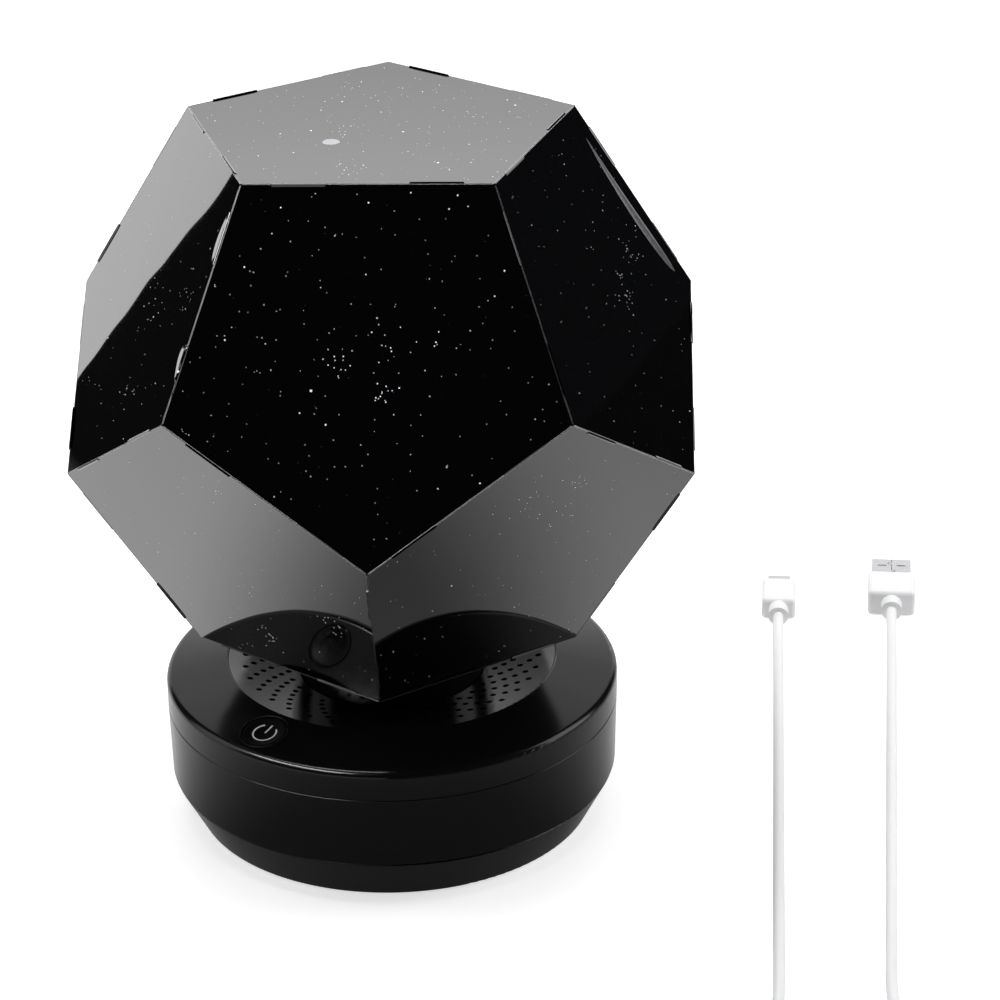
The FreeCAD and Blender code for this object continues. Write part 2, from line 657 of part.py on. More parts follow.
# ---- Casing ----
def base_post_places(z=0.0):
    return [polar(BASE_POST_CIRCLE, angle, z) for angle in BASE_POST_ANGLES]


def board_post_places(z=0.0):
    side = BOARD_WIDTH / 2 - BOARD_SCREW_INSET
    inner = BOARD_INNER_Y + BOARD_SCREW_INSET
    outer = BOARD_OUTER_Y - BOARD_SCREW_INSET
    return [Vector(x, y, z) for x in (-side, side) for y in (inner, outer)]


def foot_pad_places(z=0.0):
    return [polar(BASE_RADIUS - FOOT_PAD_INSET, angle, z) for angle in FOOT_PAD_ANGLES]


def make_bottom_cover():
    lip_outer = BODY_LOW_RADIUS - WALL - LIP_CLEARANCE
    lip_inner = lip_outer - LIP_WALL
    shell = revolved([
        (0, UNDERSIDE_Z),
        (FOOT_RADIUS, UNDERSIDE_Z, FOOT_ROUND),
        (BODY_LOW_RADIUS, FOOT_TOP_Z, SEAM_ROUND),
        (lip_outer, FOOT_TOP_Z),
        (lip_outer, FOOT_TOP_Z + LIP_HEIGHT),
        (lip_inner, FOOT_TOP_Z + LIP_HEIGHT),
        (lip_inner, FOOT_TOP_Z),
        (FOOT_RADIUS - WALL, FLOOR_TOP_Z),
        (0, FLOOR_TOP_Z),
    ])
    inside = revolved([
        (0, UNDERSIDE_Z),
        (FOOT_RADIUS, UNDERSIDE_Z, FOOT_ROUND),
        (BODY_LOW_RADIUS, FOOT_TOP_Z),
        (lip_inner, FOOT_TOP_Z),
        (lip_inner, TOWER_TOP_Z + WALL),
        (0, TOWER_TOP_Z + WALL),
    ])
    posts = [cylinder(TOWER_RADIUS, UNDERSIDE_Z, TOWER_TOP_Z)]
    posts += [cylinder(BASE_POST_RADIUS, UNDERSIDE_Z, BASE_POST_SPLIT_Z, at) for at in base_post_places()]
    posts += [cylinder(BOARD_POST_RADIUS, UNDERSIDE_Z, BOARD_BOTTOM_Z, at) for at in board_post_places()]
    for at in bracket_places():
        posts.append(at_motor(cylinder(BRACKET_POST_RADIUS, UNDERSIDE_Z, GEARBOX_TOP_Z, at)))
    cuts = [cylinder(POST_RADIUS + POST_FIT, POST_FOOT_Z, TOWER_TOP_Z)]
    cuts.append(cylinder(POST_BORE, FLOOR_TOP_Z, POST_FOOT_Z))
    slot_height = POST_FOOT_Z - FLOOR_TOP_Z
    slot_middle = Vector(0, TOWER_RADIUS / 2, FLOOR_TOP_Z + slot_height / 2)
    cuts.append(block(LAMP_SLOT_WIDTH, TOWER_RADIUS, slot_height, slot_middle))
    seat_z = BASE_POST_SPLIT_Z - BASE_SCREW_SEAT
    for at in base_post_places():
        cuts.append(cylinder(SCREW_RADIUS + SCREW_PASS, UNDERSIDE_Z, BASE_POST_SPLIT_Z, at))
        cuts.append(cylinder(SCREW_HEAD_RADIUS + SCREW_PASS, UNDERSIDE_Z, seat_z, at))
    for at in board_post_places():
        thread_foot = BOARD_BOTTOM_Z - BOARD_SCREW_BITE
        cuts.append(cylinder(SMALL_SCREW_RADIUS + SCREW_FIT, thread_foot, BOARD_BOTTOM_Z, at))
    for at in bracket_places():
        thread_foot = GEARBOX_TOP_Z - BRACKET_SCREW_BITE
        cuts.append(at_motor(cylinder(SMALL_SCREW_RADIUS + SCREW_FIT, thread_foot, GEARBOX_TOP_Z, at)))
    for at in foot_pad_places():
        pad_hole = FOOT_PAD_RADIUS + FOOT_PAD_FIT
        cuts.append(cylinder(pad_hole, UNDERSIDE_Z, UNDERSIDE_Z + FOOT_PAD_SUNK, at))
    posts = [post.common(inside) for post in posts]
    save("bottom_cover", fused(shell, *posts).cut(cuts))
    pad_top = UNDERSIDE_Z + FOOT_PAD_SUNK
    save("foot_pads", *[cylinder(FOOT_PAD_RADIUS, 0, pad_top, at) for at in foot_pad_places()])

    length = BASE_SCREW_SEAT + BASE_SCREW_BITE - SCREW_TIP_GAP
    base_screw = screw(SCREW_RADIUS, SCREW_HEAD_RADIUS, SCREW_HEAD_HEIGHT, length)
    save("base_screws", *[moved_to(base_screw, at) for at in base_post_places(seat_z)])


def make_body_shell():
    lip_outer = BASE_RADIUS - WALL - LIP_CLEARANCE
    lip_inner = lip_outer - LIP_WALL
    ramp = BASE_RADIUS - WALL - lip_inner
    shell = revolved([
        (BODY_LOW_RADIUS, FOOT_TOP_Z, SEAM_ROUND),
        (BASE_RADIUS, COVER_SEAM_Z, SEAM_ROUND),
        (lip_outer, COVER_SEAM_Z),
        (lip_outer, COVER_SEAM_Z + LIP_HEIGHT),
        (lip_inner, COVER_SEAM_Z + LIP_HEIGHT),
        (lip_inner, COVER_SEAM_Z - LIP_HEIGHT),
        (BASE_RADIUS - WALL, COVER_SEAM_Z - LIP_HEIGHT - ramp),
        (BODY_LOW_RADIUS - WALL, FOOT_TOP_Z),
    ])
    port_width = SOCKET_WIDTH + 2 * PORT_CLEARANCE
    port_height = SOCKET_HEIGHT + 2 * PORT_CLEARANCE
    port = block(port_width, 6 * WALL, port_height, Vector(0, BODY_LOW_RADIUS, PORT_Z))
    save("body_shell", shell.cut(port))


def button_frame():
    """The button's own frame: the middle of the button on the sloping ring, Z square to it."""
    rotation = Rotation(Z_AXIS, BUTTON_ANGLE).multiply(Rotation(Y_AXIS, RING_SLOPE))
    return Placement(polar(BUTTON_RADIUS, BUTTON_ANGLE, ring_top_z(BUTTON_RADIUS)), rotation)


def switch_post_places(z=0.0):
    return [Vector(0, side * SWITCH_POST_OFFSET, z) for side in (-1, 1)]


def make_top_cover():
    ledge_inner = RING_INNER_RADIUS - LEDGE_WIDTH
    under_ring = RING_INNER_RADIUS + WALL / 2
    inner_wall = BASE_RADIUS - WALL
    cover = revolved([
        (BASE_RADIUS, COVER_SEAM_Z, SEAM_ROUND),
        (BASE_RADIUS, ring_top_z(BASE_RADIUS), COVER_ROUND),
        (RING_INNER_RADIUS, RING_INNER_Z, RIM_ROUND),
        (RING_INNER_RADIUS, grille_top_z(RING_INNER_RADIUS) - GRILLE_THICKNESS),
        (ledge_inner, grille_top_z(ledge_inner) - GRILLE_THICKNESS),
        (ledge_inner, grille_top_z(ledge_inner) - GRILLE_THICKNESS - WALL),
        (under_ring, ring_top_z(under_ring) - WALL),
        (inner_wall, ring_top_z(inner_wall) - WALL),
        (inner_wall, COVER_SEAM_Z),
    ])
    frame = button_frame()
    embed = WALL / 4
    posts = []
    post_top = ring_top_z(BASE_POST_CIRCLE) - WALL / 2
    for at in base_post_places():
        posts.append(cylinder(BASE_POST_RADIUS, BASE_POST_SPLIT_Z, post_top, at))
    for at in switch_post_places():
        posts.append(placed(cylinder(SWITCH_POST_RADIUS, SWITCH_BOTTOM, embed - COVER_DEPTH, at), frame))
    cuts = []
    for at in base_post_places():
        thread_top = BASE_POST_SPLIT_Z + BASE_SCREW_BITE
        cuts.append(cylinder(SCREW_RADIUS + SCREW_FIT, BASE_POST_SPLIT_Z, thread_top, at))
    for at in switch_post_places():
        thread_top = SWITCH_BOTTOM + BOARD_SCREW_BITE
        cuts.append(placed(cylinder(SMALL_SCREW_RADIUS + SCREW_FIT, SWITCH_BOTTOM, thread_top, at), frame))
    cuts.append(placed(cylinder(BUTTON_HOLE_RADIUS, -2 * WALL, 2 * WALL), frame))
    flange_room = cylinder(BUTTON_FLANGE_RADIUS + BUTTON_GAP, FLANGE_BOTTOM - 2 * BUTTON_TRAVEL, BUTTON_SEAT)
    cuts.append(placed(flange_room, frame))
    save("top_cover", fused(cover, *posts).cut(cuts))


def make_vent_grille():
    outer = RING_INNER_RADIUS - GRILLE_FIT
    inner = NECK_RADIUS + NECK_GAP
    dish = revolved([
        (outer, grille_top_z(outer)),
        (outer, grille_top_z(outer) - GRILLE_THICKNESS),
        (inner, grille_top_z(inner) - GRILLE_THICKNESS),
        (inner, grille_top_z(inner)),
    ])
    holes = []
    outermost = RING_INNER_RADIUS - GRILLE_MARGIN
    rings = 1 + int((outermost - inner - GRILLE_INNER_MARGIN) / GRILLE_RING_STEP)
    for step in range(rings):
        radius = outermost - GRILLE_RING_STEP * step
        low = grille_top_z(radius) - 2 * GRILLE_THICKNESS
        high = grille_top_z(radius) + GRILLE_THICKNESS
        for hole in range(GRILLE_HOLES_PER_RING):
            angle = GRILLE_RING_TWIST * step + 360 / GRILLE_HOLES_PER_RING * hole
            holes.append(cylinder(GRILLE_HOLE_RADIUS, low, high, polar(radius, angle)))
    save("vent_grille", dish.cut(holes))


# ---- Power button ----
def make_button():
    frame = button_frame()
    cap_radius = BUTTON_HOLE_RADIUS - BUTTON_GAP
    dish_radius = cap_radius - BUTTON_RIM
    sphere_radius = (dish_radius**2 + BUTTON_DISH_DEPTH**2) / (2 * BUTTON_DISH_DEPTH)
    cap = cylinder(cap_radius, FLANGE_BOTTOM, -BUTTON_SUNK)
    flange = cylinder(BUTTON_FLANGE_RADIUS, FLANGE_BOTTOM, FLANGE_TOP)
    stem = cylinder(STEM_RADIUS, PLUNGER_TOP, FLANGE_BOTTOM)
    sphere_z = sphere_radius - BUTTON_DISH_DEPTH - BUTTON_SUNK
    dish = Part.makeSphere(sphere_radius, Vector(0, 0, sphere_z))
    save("power_button", placed(fused(cap, flange, stem).cut(dish), frame))
    save("switch_plunger", placed(cylinder(PLUNGER_RADIUS, SWITCH_TOP - PLUNGER_HELD, PLUNGER_TOP), frame))

    bore_foot = SWITCH_TOP - PLUNGER_HELD - 2 * BUTTON_TRAVEL
    body = block(SWITCH_SIZE, SWITCH_SIZE, SWITCH_HEIGHT, Vector(0, 0, SWITCH_TOP - SWITCH_HEIGHT / 2))
    body = body.cut(cylinder(PLUNGER_RADIUS + RUNNING_FIT, bore_foot, SWITCH_TOP))
    save("tact_switch", placed(body, frame))
    board_middle = Vector(0, 0, SWITCH_BOTTOM - SWITCH_BOARD_THICKNESS / 2)
    board = block(SWITCH_BOARD_WIDTH, SWITCH_BOARD_LENGTH, SWITCH_BOARD_THICKNESS, board_middle)
    holes = []
    for at in switch_post_places():
        holes.append(cylinder(SMALL_SCREW_RADIUS + SCREW_PASS, SWITCH_BOARD_BOTTOM, SWITCH_BOTTOM, at))
    save("switch_board", placed(board.cut(holes), frame))


# ---- Lamp ----
def lamp_screw_places(z=0.0):
    return [Vector(side * LAMP_SCREW_CIRCLE, 0, z) for side in (-1, 1)]


def make_lamp():
    save("lamp_post", ring(POST_RADIUS, POST_BORE, POST_FOOT_Z, POST_TOP_Z))
    plate = cylinder(HOLDER_RADIUS, POST_TOP_Z, LAMP_BOARD_BOTTOM_Z)
    sleeve = cylinder(HOLDER_SLEEVE_RADIUS, POST_TOP_Z - HOLDER_SLEEVE_LENGTH, POST_TOP_Z)
    cuts = [cylinder(POST_BORE, POST_TOP_Z, LAMP_BOARD_BOTTOM_Z)]
    cuts.append(cylinder(POST_RADIUS + POST_FIT, POST_TOP_Z - HOLDER_SLEEVE_LENGTH, POST_TOP_Z))
    board_holes = []
    for at in lamp_screw_places():
        thread_foot = LAMP_BOARD_BOTTOM_Z - BOARD_SCREW_BITE
        cuts.append(cylinder(SMALL_SCREW_RADIUS + SCREW_FIT, thread_foot, LAMP_BOARD_BOTTOM_Z, at))
        hole_radius = SMALL_SCREW_RADIUS + SCREW_PASS
        board_holes.append(cylinder(hole_radius, LAMP_BOARD_BOTTOM_Z, LAMP_BOARD_TOP_Z, at))
    save("lamp_holder", fused(plate, sleeve).cut(cuts))
    board = cylinder(LAMP_BOARD_RADIUS, LAMP_BOARD_BOTTOM_Z, LAMP_BOARD_TOP_Z)
    save("lamp_board", board.cut(board_holes))
    led_middle = Vector(0, 0, LAMP_BOARD_TOP_Z + LED_HEIGHT / 2)
    save("lamp_led", block(LED_SIZE, LED_SIZE, LED_HEIGHT, led_middle))
    dome = Part.makeSphere(LED_DOME_RADIUS, Vector(0, 0, BALL_CENTRE_Z), Z_AXIS, 0, 90, 360)
    save("lamp_dome", dome)


# ---- Boards and battery ----
def make_main_board():
    middle = Vector(0, (BOARD_INNER_Y + BOARD_OUTER_Y) / 2, (BOARD_BOTTOM_Z + BOARD_TOP_Z) / 2)
    board = block(BOARD_WIDTH, BOARD_LENGTH, BOARD_THICKNESS, middle)
    holes = []
    for at in board_post_places():
        holes.append(cylinder(SMALL_SCREW_RADIUS + SCREW_PASS, BOARD_BOTTOM_Z, BOARD_TOP_Z, at))
    save("main_board", board.cut(holes))

    battery_plug = block(CONNECTOR_SIZE, CONNECTOR_SIZE, CONNECTOR_HEIGHT, battery_connector())
    switch_plug = block(CONNECTOR_SIZE, CONNECTOR_SIZE, CONNECTOR_HEIGHT, switch_connector())
    chip_place = middle + Vector(0, 0, (BOARD_THICKNESS + CHIP_HEIGHT) / 2)
    chip = block(CHIP_SIZE, CHIP_SIZE, CHIP_HEIGHT, chip_place)
    choke_place = Vector(BOARD_WIDTH / 4, BOARD_OUTER_Y - 2 * CHIP_SIZE, BOARD_TOP_Z + CHOKE_HEIGHT / 2)
    choke = block(CHIP_SIZE, CHIP_SIZE, CHOKE_HEIGHT, choke_place)
    save("board_components", battery_plug, switch_plug, chip, choke)

    short_screw = small_screw(BOARD_THICKNESS + BOARD_SCREW_BITE - SCREW_TIP_GAP)
    switch_screw = small_screw(SWITCH_BOARD_THICKNESS + BOARD_SCREW_BITE - SCREW_TIP_GAP)
    screws = [flipped(short_screw, at) for at in board_post_places(BOARD_TOP_Z)]
    screws += [flipped(short_screw, at) for at in lamp_screw_places(LAMP_BOARD_TOP_Z)]
    for at in switch_post_places(SWITCH_BOARD_BOTTOM):
        screws.append(placed(moved_to(switch_screw, at), button_frame()))
    save("board_screws", *screws)


def make_socket():
    middle = Vector(0, SOCKET_MOUTH_Y - SOCKET_LENGTH / 2, PORT_Z)
    outside = block(SOCKET_WIDTH, SOCKET_LENGTH, SOCKET_HEIGHT, middle)
    hollow_width = SOCKET_WIDTH - 2 * SOCKET_WALL
    hollow_height = SOCKET_HEIGHT - 2 * SOCKET_WALL
    hollow = block(hollow_width, SOCKET_LENGTH, hollow_height, middle + Vector(0, SOCKET_WALL, 0))
    save("usb_socket_shell", outside.cut(hollow))
    tongue_length = SOCKET_LENGTH - 3 * SOCKET_WALL
    tongue_middle = Vector(0, SOCKET_MOUTH_Y - SOCKET_LENGTH + SOCKET_WALL + tongue_length / 2, PORT_Z)
    tongue = block(SOCKET_TONGUE_WIDTH, tongue_length, SOCKET_TONGUE_THICKNESS, tongue_middle)
    save("usb_socket_tongue", tongue)


def make_battery():
    along_y = Rotation(X_AXIS, -90)
    cell = Part.makeCylinder(BATTERY_RADIUS, BATTERY_LENGTH)
    save("battery_cell", placed(cell, Placement(Vector(BATTERY_X, -BATTERY_LENGTH / 2, BATTERY_Z), along_y)))
    width = 2 * (BATTERY_RADIUS + CRADLE_FIT + CRADLE_WALL)
    height = CRADLE_FLOOR + BATTERY_RADIUS
    cradle = block(width, CRADLE_LENGTH, height, Vector(BATTERY_X, 0, FLOOR_TOP_Z + height / 2))
    trough = Part.makeCylinder(BATTERY_RADIUS + CRADLE_FIT, CRADLE_LENGTH)
    trough_place = Placement(Vector(BATTERY_X, -CRADLE_LENGTH / 2, BATTERY_Z + CRADLE_FIT), along_y)
    save("battery_cradle", cradle.cut(placed(trough, trough_place)))


def connector_x():
    """How far each plug's middle lies to the side of the board's middle line."""
    return BOARD_WIDTH / 2 - CONNECTOR_SIZE / 2 - CONNECTOR_INSET


def battery_connector():
    """Middle of the plug that the battery's leads run to."""
    y = BOARD_INNER_Y + 2 * BOARD_SCREW_INSET + CONNECTOR_SIZE / 2
    return Vector(connector_x(), y, BOARD_TOP_Z + CONNECTOR_HEIGHT / 2)


def switch_connector():
    """Middle of the plug that the switch's leads run to."""
    y = BOARD_OUTER_Y - 2 * BOARD_SCREW_INSET - CONNECTOR_SIZE / 2
    return Vector(-connector_x(), y, BOARD_TOP_Z + CONNECTOR_HEIGHT / 2)


# ---- Inner leads ----
def make_leads():
    lamp_end_y = BOARD_INNER_Y + 2 * BOARD_SCREW_INSET
    lamp = [
        Vector(0, 0, LAMP_BOARD_BOTTOM_Z),
        Vector(0, 0, LEAD_Z),
        Vector(0, lamp_end_y, LEAD_Z),
        Vector(0, lamp_end_y, BOARD_BOTTOM_Z),
    ]
    save("lamp_leads", held_lead(lamp, LAMP_LEAD_RADIUS, LAMP_LEAD_BEND))

    motor = polar(MOTOR_DISTANCE, MOTOR_ANGLE, MOTOR_BOTTOM_Z)
    low = MOTOR_BOTTOM_Z - MOTOR_LEAD_DROP
    board_end = Vector(-BOARD_WIDTH / 4, lamp_end_y + CONNECTOR_SIZE, BOARD_BOTTOM_Z)
    motor_route = [motor, Vector(motor.x, motor.y, low), Vector(board_end.x, board_end.y, low), board_end]
    save("motor_leads", held_lead(motor_route, LEAD_RADIUS, LEAD_BEND))

    plug = battery_connector()
    plug_side = plug + Vector(CONNECTOR_SIZE / 2, 0, 0)
    cell_end = Vector(BATTERY_X, BATTERY_LENGTH / 2, plug.z)
    battery = [cell_end, Vector(cell_end.x, plug.y, plug.z), plug_side]
    save("battery_leads", held_lead(battery, LEAD_RADIUS, LEAD_BEND))

    switch_plug = switch_connector()
    start = button_frame().multVec(Vector(-SWITCH_BOARD_WIDTH / 4, 0, SWITCH_BOARD_BOTTOM))
    below = button_frame().multVec(Vector(-SWITCH_BOARD_WIDTH / 4, 0, SWITCH_BOARD_BOTTOM - 3 * LEAD_BEND))
    bracket_reach = math.hypot(MOTOR_DISTANCE, BRACKET_SCREW_OFFSET) + BRACKET_POST_RADIUS
    between_posts = (BASE_POST_CIRCLE - BASE_POST_RADIUS + bracket_reach) / 2
    switch = [
        start,
        below,
        Vector(below.x, below.y, switch_plug.z),
        *[polar(between_posts, angle, switch_plug.z) for angle in SWITCH_LEAD_ANGLES],
        Vector(switch_plug.x - 2 * CONNECTOR_SIZE, switch_plug.y, switch_plug.z),
        switch_plug - Vector(CONNECTOR_SIZE / 2, 0, 0),
    ]
    save("switch_leads", held_lead(switch, LEAD_RADIUS, LEAD_BEND))


# ---- USB lead ----
def plug_frame(route):
    """A plug's own frame: the cable's end, with Y towards the plug's tip."""
    away = route[0] - route[1]
    turn = math.degrees(math.atan2(-away.x, away.y))
    return Placement(route[0], Rotation(Z_AXIS, turn))


def plug_grip(width, length, height, relief_radius):
    """A moulded grip with a round strain relief that meets the cable."""
    middle = Vector(0, RELIEF_LENGTH + length / 2, 0)
    grip = block(width, length, height, middle)
    grip = grip.makeFillet(PLUG_ROUND, grip.Edges)
    relief = Part.makeCylinder(relief_radius, RELIEF_LENGTH + PLUG_ROUND, Vector(0, 0, 0), Y_AXIS)
    return fused(grip, relief)


def make_plugs():
    micro = plug_frame(MICRO_ROUTE)
    grip = plug_grip(MICRO_GRIP_WIDTH, MICRO_GRIP_LENGTH, MICRO_GRIP_HEIGHT, MICRO_RELIEF_RADIUS)
    save("micro_plug_grip", placed(grip, micro))
    shell_y = RELIEF_LENGTH + MICRO_GRIP_LENGTH
    middle = Vector(0, shell_y + MICRO_SHELL_LENGTH / 2, 0)
    shell = block(MICRO_SHELL_WIDTH, MICRO_SHELL_LENGTH, MICRO_SHELL_HEIGHT, middle)
    lower_edges = [e for e in shell.Edges if abs(e.tangentAt(0).y) > 0.5 and e.CenterOfMass.z < 0]
    shell = shell.makeChamfer(MICRO_SHELL_HEIGHT / 3, lower_edges)
    slot_middle = middle + Vector(0, PLUG_TONGUE_SUNK, 0)
    slot = block(MICRO_SLOT_WIDTH, MICRO_SHELL_LENGTH, MICRO_SLOT_HEIGHT, slot_middle)
    save("micro_plug_shell", placed(shell.cut(slot), micro))

    usb = plug_frame(USB_ROUTE)
    grip = plug_grip(USB_GRIP_WIDTH, USB_GRIP_LENGTH, USB_GRIP_HEIGHT, USB_RELIEF_RADIUS)
    save("usb_plug_grip", placed(grip, usb))
    shell_y = RELIEF_LENGTH + USB_GRIP_LENGTH
    middle = Vector(0, shell_y + USB_SHELL_LENGTH / 2, 0)
    shell = block(USB_SHELL_WIDTH, USB_SHELL_LENGTH, USB_SHELL_HEIGHT, middle)
    hollow_width = USB_SHELL_WIDTH - 2 * USB_SHELL_WALL
    hollow_height = USB_SHELL_HEIGHT - 2 * USB_SHELL_WALL
    hollow = block(hollow_width, USB_SHELL_LENGTH, hollow_height, middle)
    window_y = shell_y + USB_WINDOW_BACK + USB_WINDOW_LENGTH / 2
    windows = []
    for side in (-1, 1):
        window_middle = Vector(side * USB_WINDOW_OFFSET, window_y, 0)
        windows.append(block(USB_WINDOW_WIDTH, USB_WINDOW_LENGTH, 2 * USB_SHELL_HEIGHT, window_middle))
    save("usb_plug_shell", placed(shell.cut([hollow] + windows), usb))
    tongue_middle = middle + Vector(0, -PLUG_TONGUE_SUNK / 2, (USB_TONGUE_HEIGHT - hollow_height) / 2)
    tongue = block(hollow_width, USB_SHELL_LENGTH - PLUG_TONGUE_SUNK, USB_TONGUE_HEIGHT, tongue_middle)
    save("usb_plug_tongue", placed(tongue, usb))


def make_cable():
    """The loose lead: a run from each plug to the coil, and the coil's outer shape."""
    spread = 2 * CABLE_RADIUS
    inner = COIL_TURN_RADIUS - spread
    outer = COIL_TURN_RADIUS + spread
    top = 2 * spread
    coil = moved_to(
        revolved([
            (inner, 0, CABLE_RADIUS),
            (outer, 0, CABLE_RADIUS),
            (outer, top, CABLE_RADIUS),
            (inner, top, CABLE_RADIUS),
        ]),
        COIL_CENTRE,
    )
    save("cable_coil", coil)
    save("cable_micro_run", free_cord("micro run", MICRO_ROUTE, CABLE_RADIUS).cut(coil))
    save("cable_usb_run", free_cord("USB run", USB_ROUTE, CABLE_RADIUS).cut(coil))
    print("coil length", round(2 * math.pi * COIL_TURN_RADIUS * COIL_TURNS))


os.makedirs("parts", exist_ok=True)
make_ball()
make_turntable()
make_motor()
make_bottom_cover()
make_body_shell()
make_top_cover()
make_vent_grille()
make_button()
make_lamp()
make_main_board()
make_socket()
make_battery()
make_leads()
make_plugs()
make_cable()
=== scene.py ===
"""A planetarium projector: a dodecahedral star ball of glossy black film that turns on a round
satin black base, with its white USB lead lying beside it."""
import math
import random

import bmesh
import bpy
from bpy.props import FloatProperty, FloatVectorProperty, IntProperty, PointerProperty
from mathutils import Matrix, Vector


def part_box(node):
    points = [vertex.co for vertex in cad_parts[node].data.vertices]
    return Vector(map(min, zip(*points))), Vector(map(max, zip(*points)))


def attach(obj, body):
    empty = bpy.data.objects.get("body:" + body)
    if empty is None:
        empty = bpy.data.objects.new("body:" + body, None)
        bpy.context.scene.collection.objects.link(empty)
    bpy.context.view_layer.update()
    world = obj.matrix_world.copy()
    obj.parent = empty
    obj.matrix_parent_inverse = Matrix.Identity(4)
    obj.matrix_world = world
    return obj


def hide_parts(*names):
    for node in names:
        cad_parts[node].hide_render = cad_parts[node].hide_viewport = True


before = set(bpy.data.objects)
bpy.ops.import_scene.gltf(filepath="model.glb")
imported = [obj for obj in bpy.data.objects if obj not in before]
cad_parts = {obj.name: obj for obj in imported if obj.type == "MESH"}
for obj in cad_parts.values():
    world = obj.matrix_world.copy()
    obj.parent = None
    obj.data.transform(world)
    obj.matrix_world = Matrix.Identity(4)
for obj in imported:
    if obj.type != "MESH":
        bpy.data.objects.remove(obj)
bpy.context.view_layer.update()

bl_info = {
    "name": "Planetarium projector",
    "version": (1, 0, 0),
    "blender": (4, 5, 0),
    "location": "View3D > Sidebar > Projector",
    "description": "Dresses the star ball, base, button and lead of a planetarium projector",
    "category": "Object",
}

MM = 0.001

# ---- Camera ----
LENS = 125.13
SENSOR_WIDTH = 36.0
CAMERA_PLACE = (54.825, -840.516, 485.606)
CAMERA_TURN = 1.687  # degrees to the left, then down, then of roll
CAMERA_DOWN = 25.204
CAMERA_ROLL = -0.708

# ---- Star ball ----
FOLD = math.degrees(math.atan(2))  # between the normals of two neighbouring panels
SIDE_TURN = 360 / 5
TAB_OFFSET = 16.9  # from the middle of an edge to the middle of a tab
TAB_LENGTH = 13.0
DOT_THICKNESS = 0.05

# ---- Casing ----
RING_SLOPE = 12.0
BUTTON_ANGLE = 233.5
BUTTON_RADIUS = 52.7  # from the base's axis to the middle of the button
BUTTON_HOLE_RADIUS = 6.23
BUTTON_Z = 42.6
BUTTON_SUNK = 0.1
DISH_RADIUS = 5.28
DISH_DEPTH = 0.5

# ---- Plugs, in the frame of each plug: its cable end at the origin and its shell towards Y ----
USB_SHELL_TOP = 2.25
USB_WINDOW_X = 2.9  # from the plug's middle to the middle of each window
MICRO_CATCH_X = 1.75
MICRO_SHELL_INSIDE = 0.7  # height that the catches rise from

# ---- Lead: the route of its middle line, in millimetres ----
MICRO_ROUTE = [
    (111.2, 100.9, 3.3), (110.5, 88.9, 3.3), (109.7, 69, 1.6), (108.8, 49, 1.6), (102.4, -86, 1.6),
    (101.5, -106, 1.6), (99, -126, 1.6), (95.6, -146, 1.6),
]
USB_ROUTE = [
    (145.6, 103.2, 4), (144.7, 91.2, 4), (143.3, 71, 1.6), (141.7, 51, 1.6), (131.3, -83, 1.6),
    (129.5, -106, 1.6), (131, -129, 4.5), (132.6, -146, 6),
]
COIL_CENTRE = (114, -150)
COIL_START = 180  # degrees round the coil, where the micro plug's stretch comes in
COIL_INNER = 15.45
COIL_OUTER = 18.55
COIL_POINTS_PER_TURN = 16
COIL_LAYERS = (1.55, 4.65, 7.75)  # height of the lead's middle line in each layer of the coil

# The coil's winding: degrees turned, radius and height of the lead's middle line.
COIL_WINDING = [
    (0, COIL_OUTER, COIL_LAYERS[0]), (270, COIL_OUTER, COIL_LAYERS[0]),
    (360, COIL_INNER, COIL_LAYERS[0]), (540, COIL_INNER, COIL_LAYERS[0]),
    (630, COIL_INNER, COIL_LAYERS[1]), (810, COIL_INNER, COIL_LAYERS[1]),
    (900, COIL_OUTER, COIL_LAYERS[1]), (1080, COIL_OUTER, COIL_LAYERS[1]),
    (1170, COIL_OUTER, COIL_LAYERS[2]), (1238, COIL_OUTER, COIL_LAYERS[2]),
]

# Which CAD nodes take each finish.
FINISH_NODES = {
    "satin_black": ["top_cover", "body_shell", "bottom_cover", "ball_carrier"],
    "grille_black": ["vent_grille"],
    "button_black": ["power_button"],
    "foot_rubber": ["foot_pads"],
    "screw_steel": ["base_screws", "carrier_screws", "motor_screws", "board_screws"],
    "natural_acetal": ["drive_gear", "pinion", "turntable_bush"],
    "inner_black": [
        "clamp_ring", "retaining_collar", "lamp_holder", "motor_bracket", "battery_cradle",
        "usb_socket_tongue", "usb_plug_tongue", "switch_plunger",
    ],
    "bare_aluminium": ["lamp_post"],
    "motor_steel": ["drive_motor", "motor_shaft", "usb_socket_shell", "tact_switch"],
    "gearbox_brass": ["gearbox"],
    "board_green": ["main_board", "switch_board", "lamp_board"],
    "component_black": ["board_components"],
    "led_yellow": ["lamp_led"],
    "clear_dome": ["lamp_dome"],
    "cell_wrap": ["battery_cell"],
    "lead_red": ["lamp_leads", "motor_leads", "battery_leads", "switch_leads"],
    "white_vinyl": ["micro_plug_grip", "usb_plug_grip"],
    "plug_steel": ["micro_plug_shell", "usb_plug_shell"],
}


def linear(hex_colour):
    """Turn an sRGB hex colour into linear red, green, blue and alpha."""
    parts = [int(hex_colour[at:at + 2], 16) / 255 for at in (1, 3, 5)]
    return (*[c / 12.92 if c <= 0.04045 else ((c + 0.055) / 1.055) ** 2.4 for c in parts], 1.0)


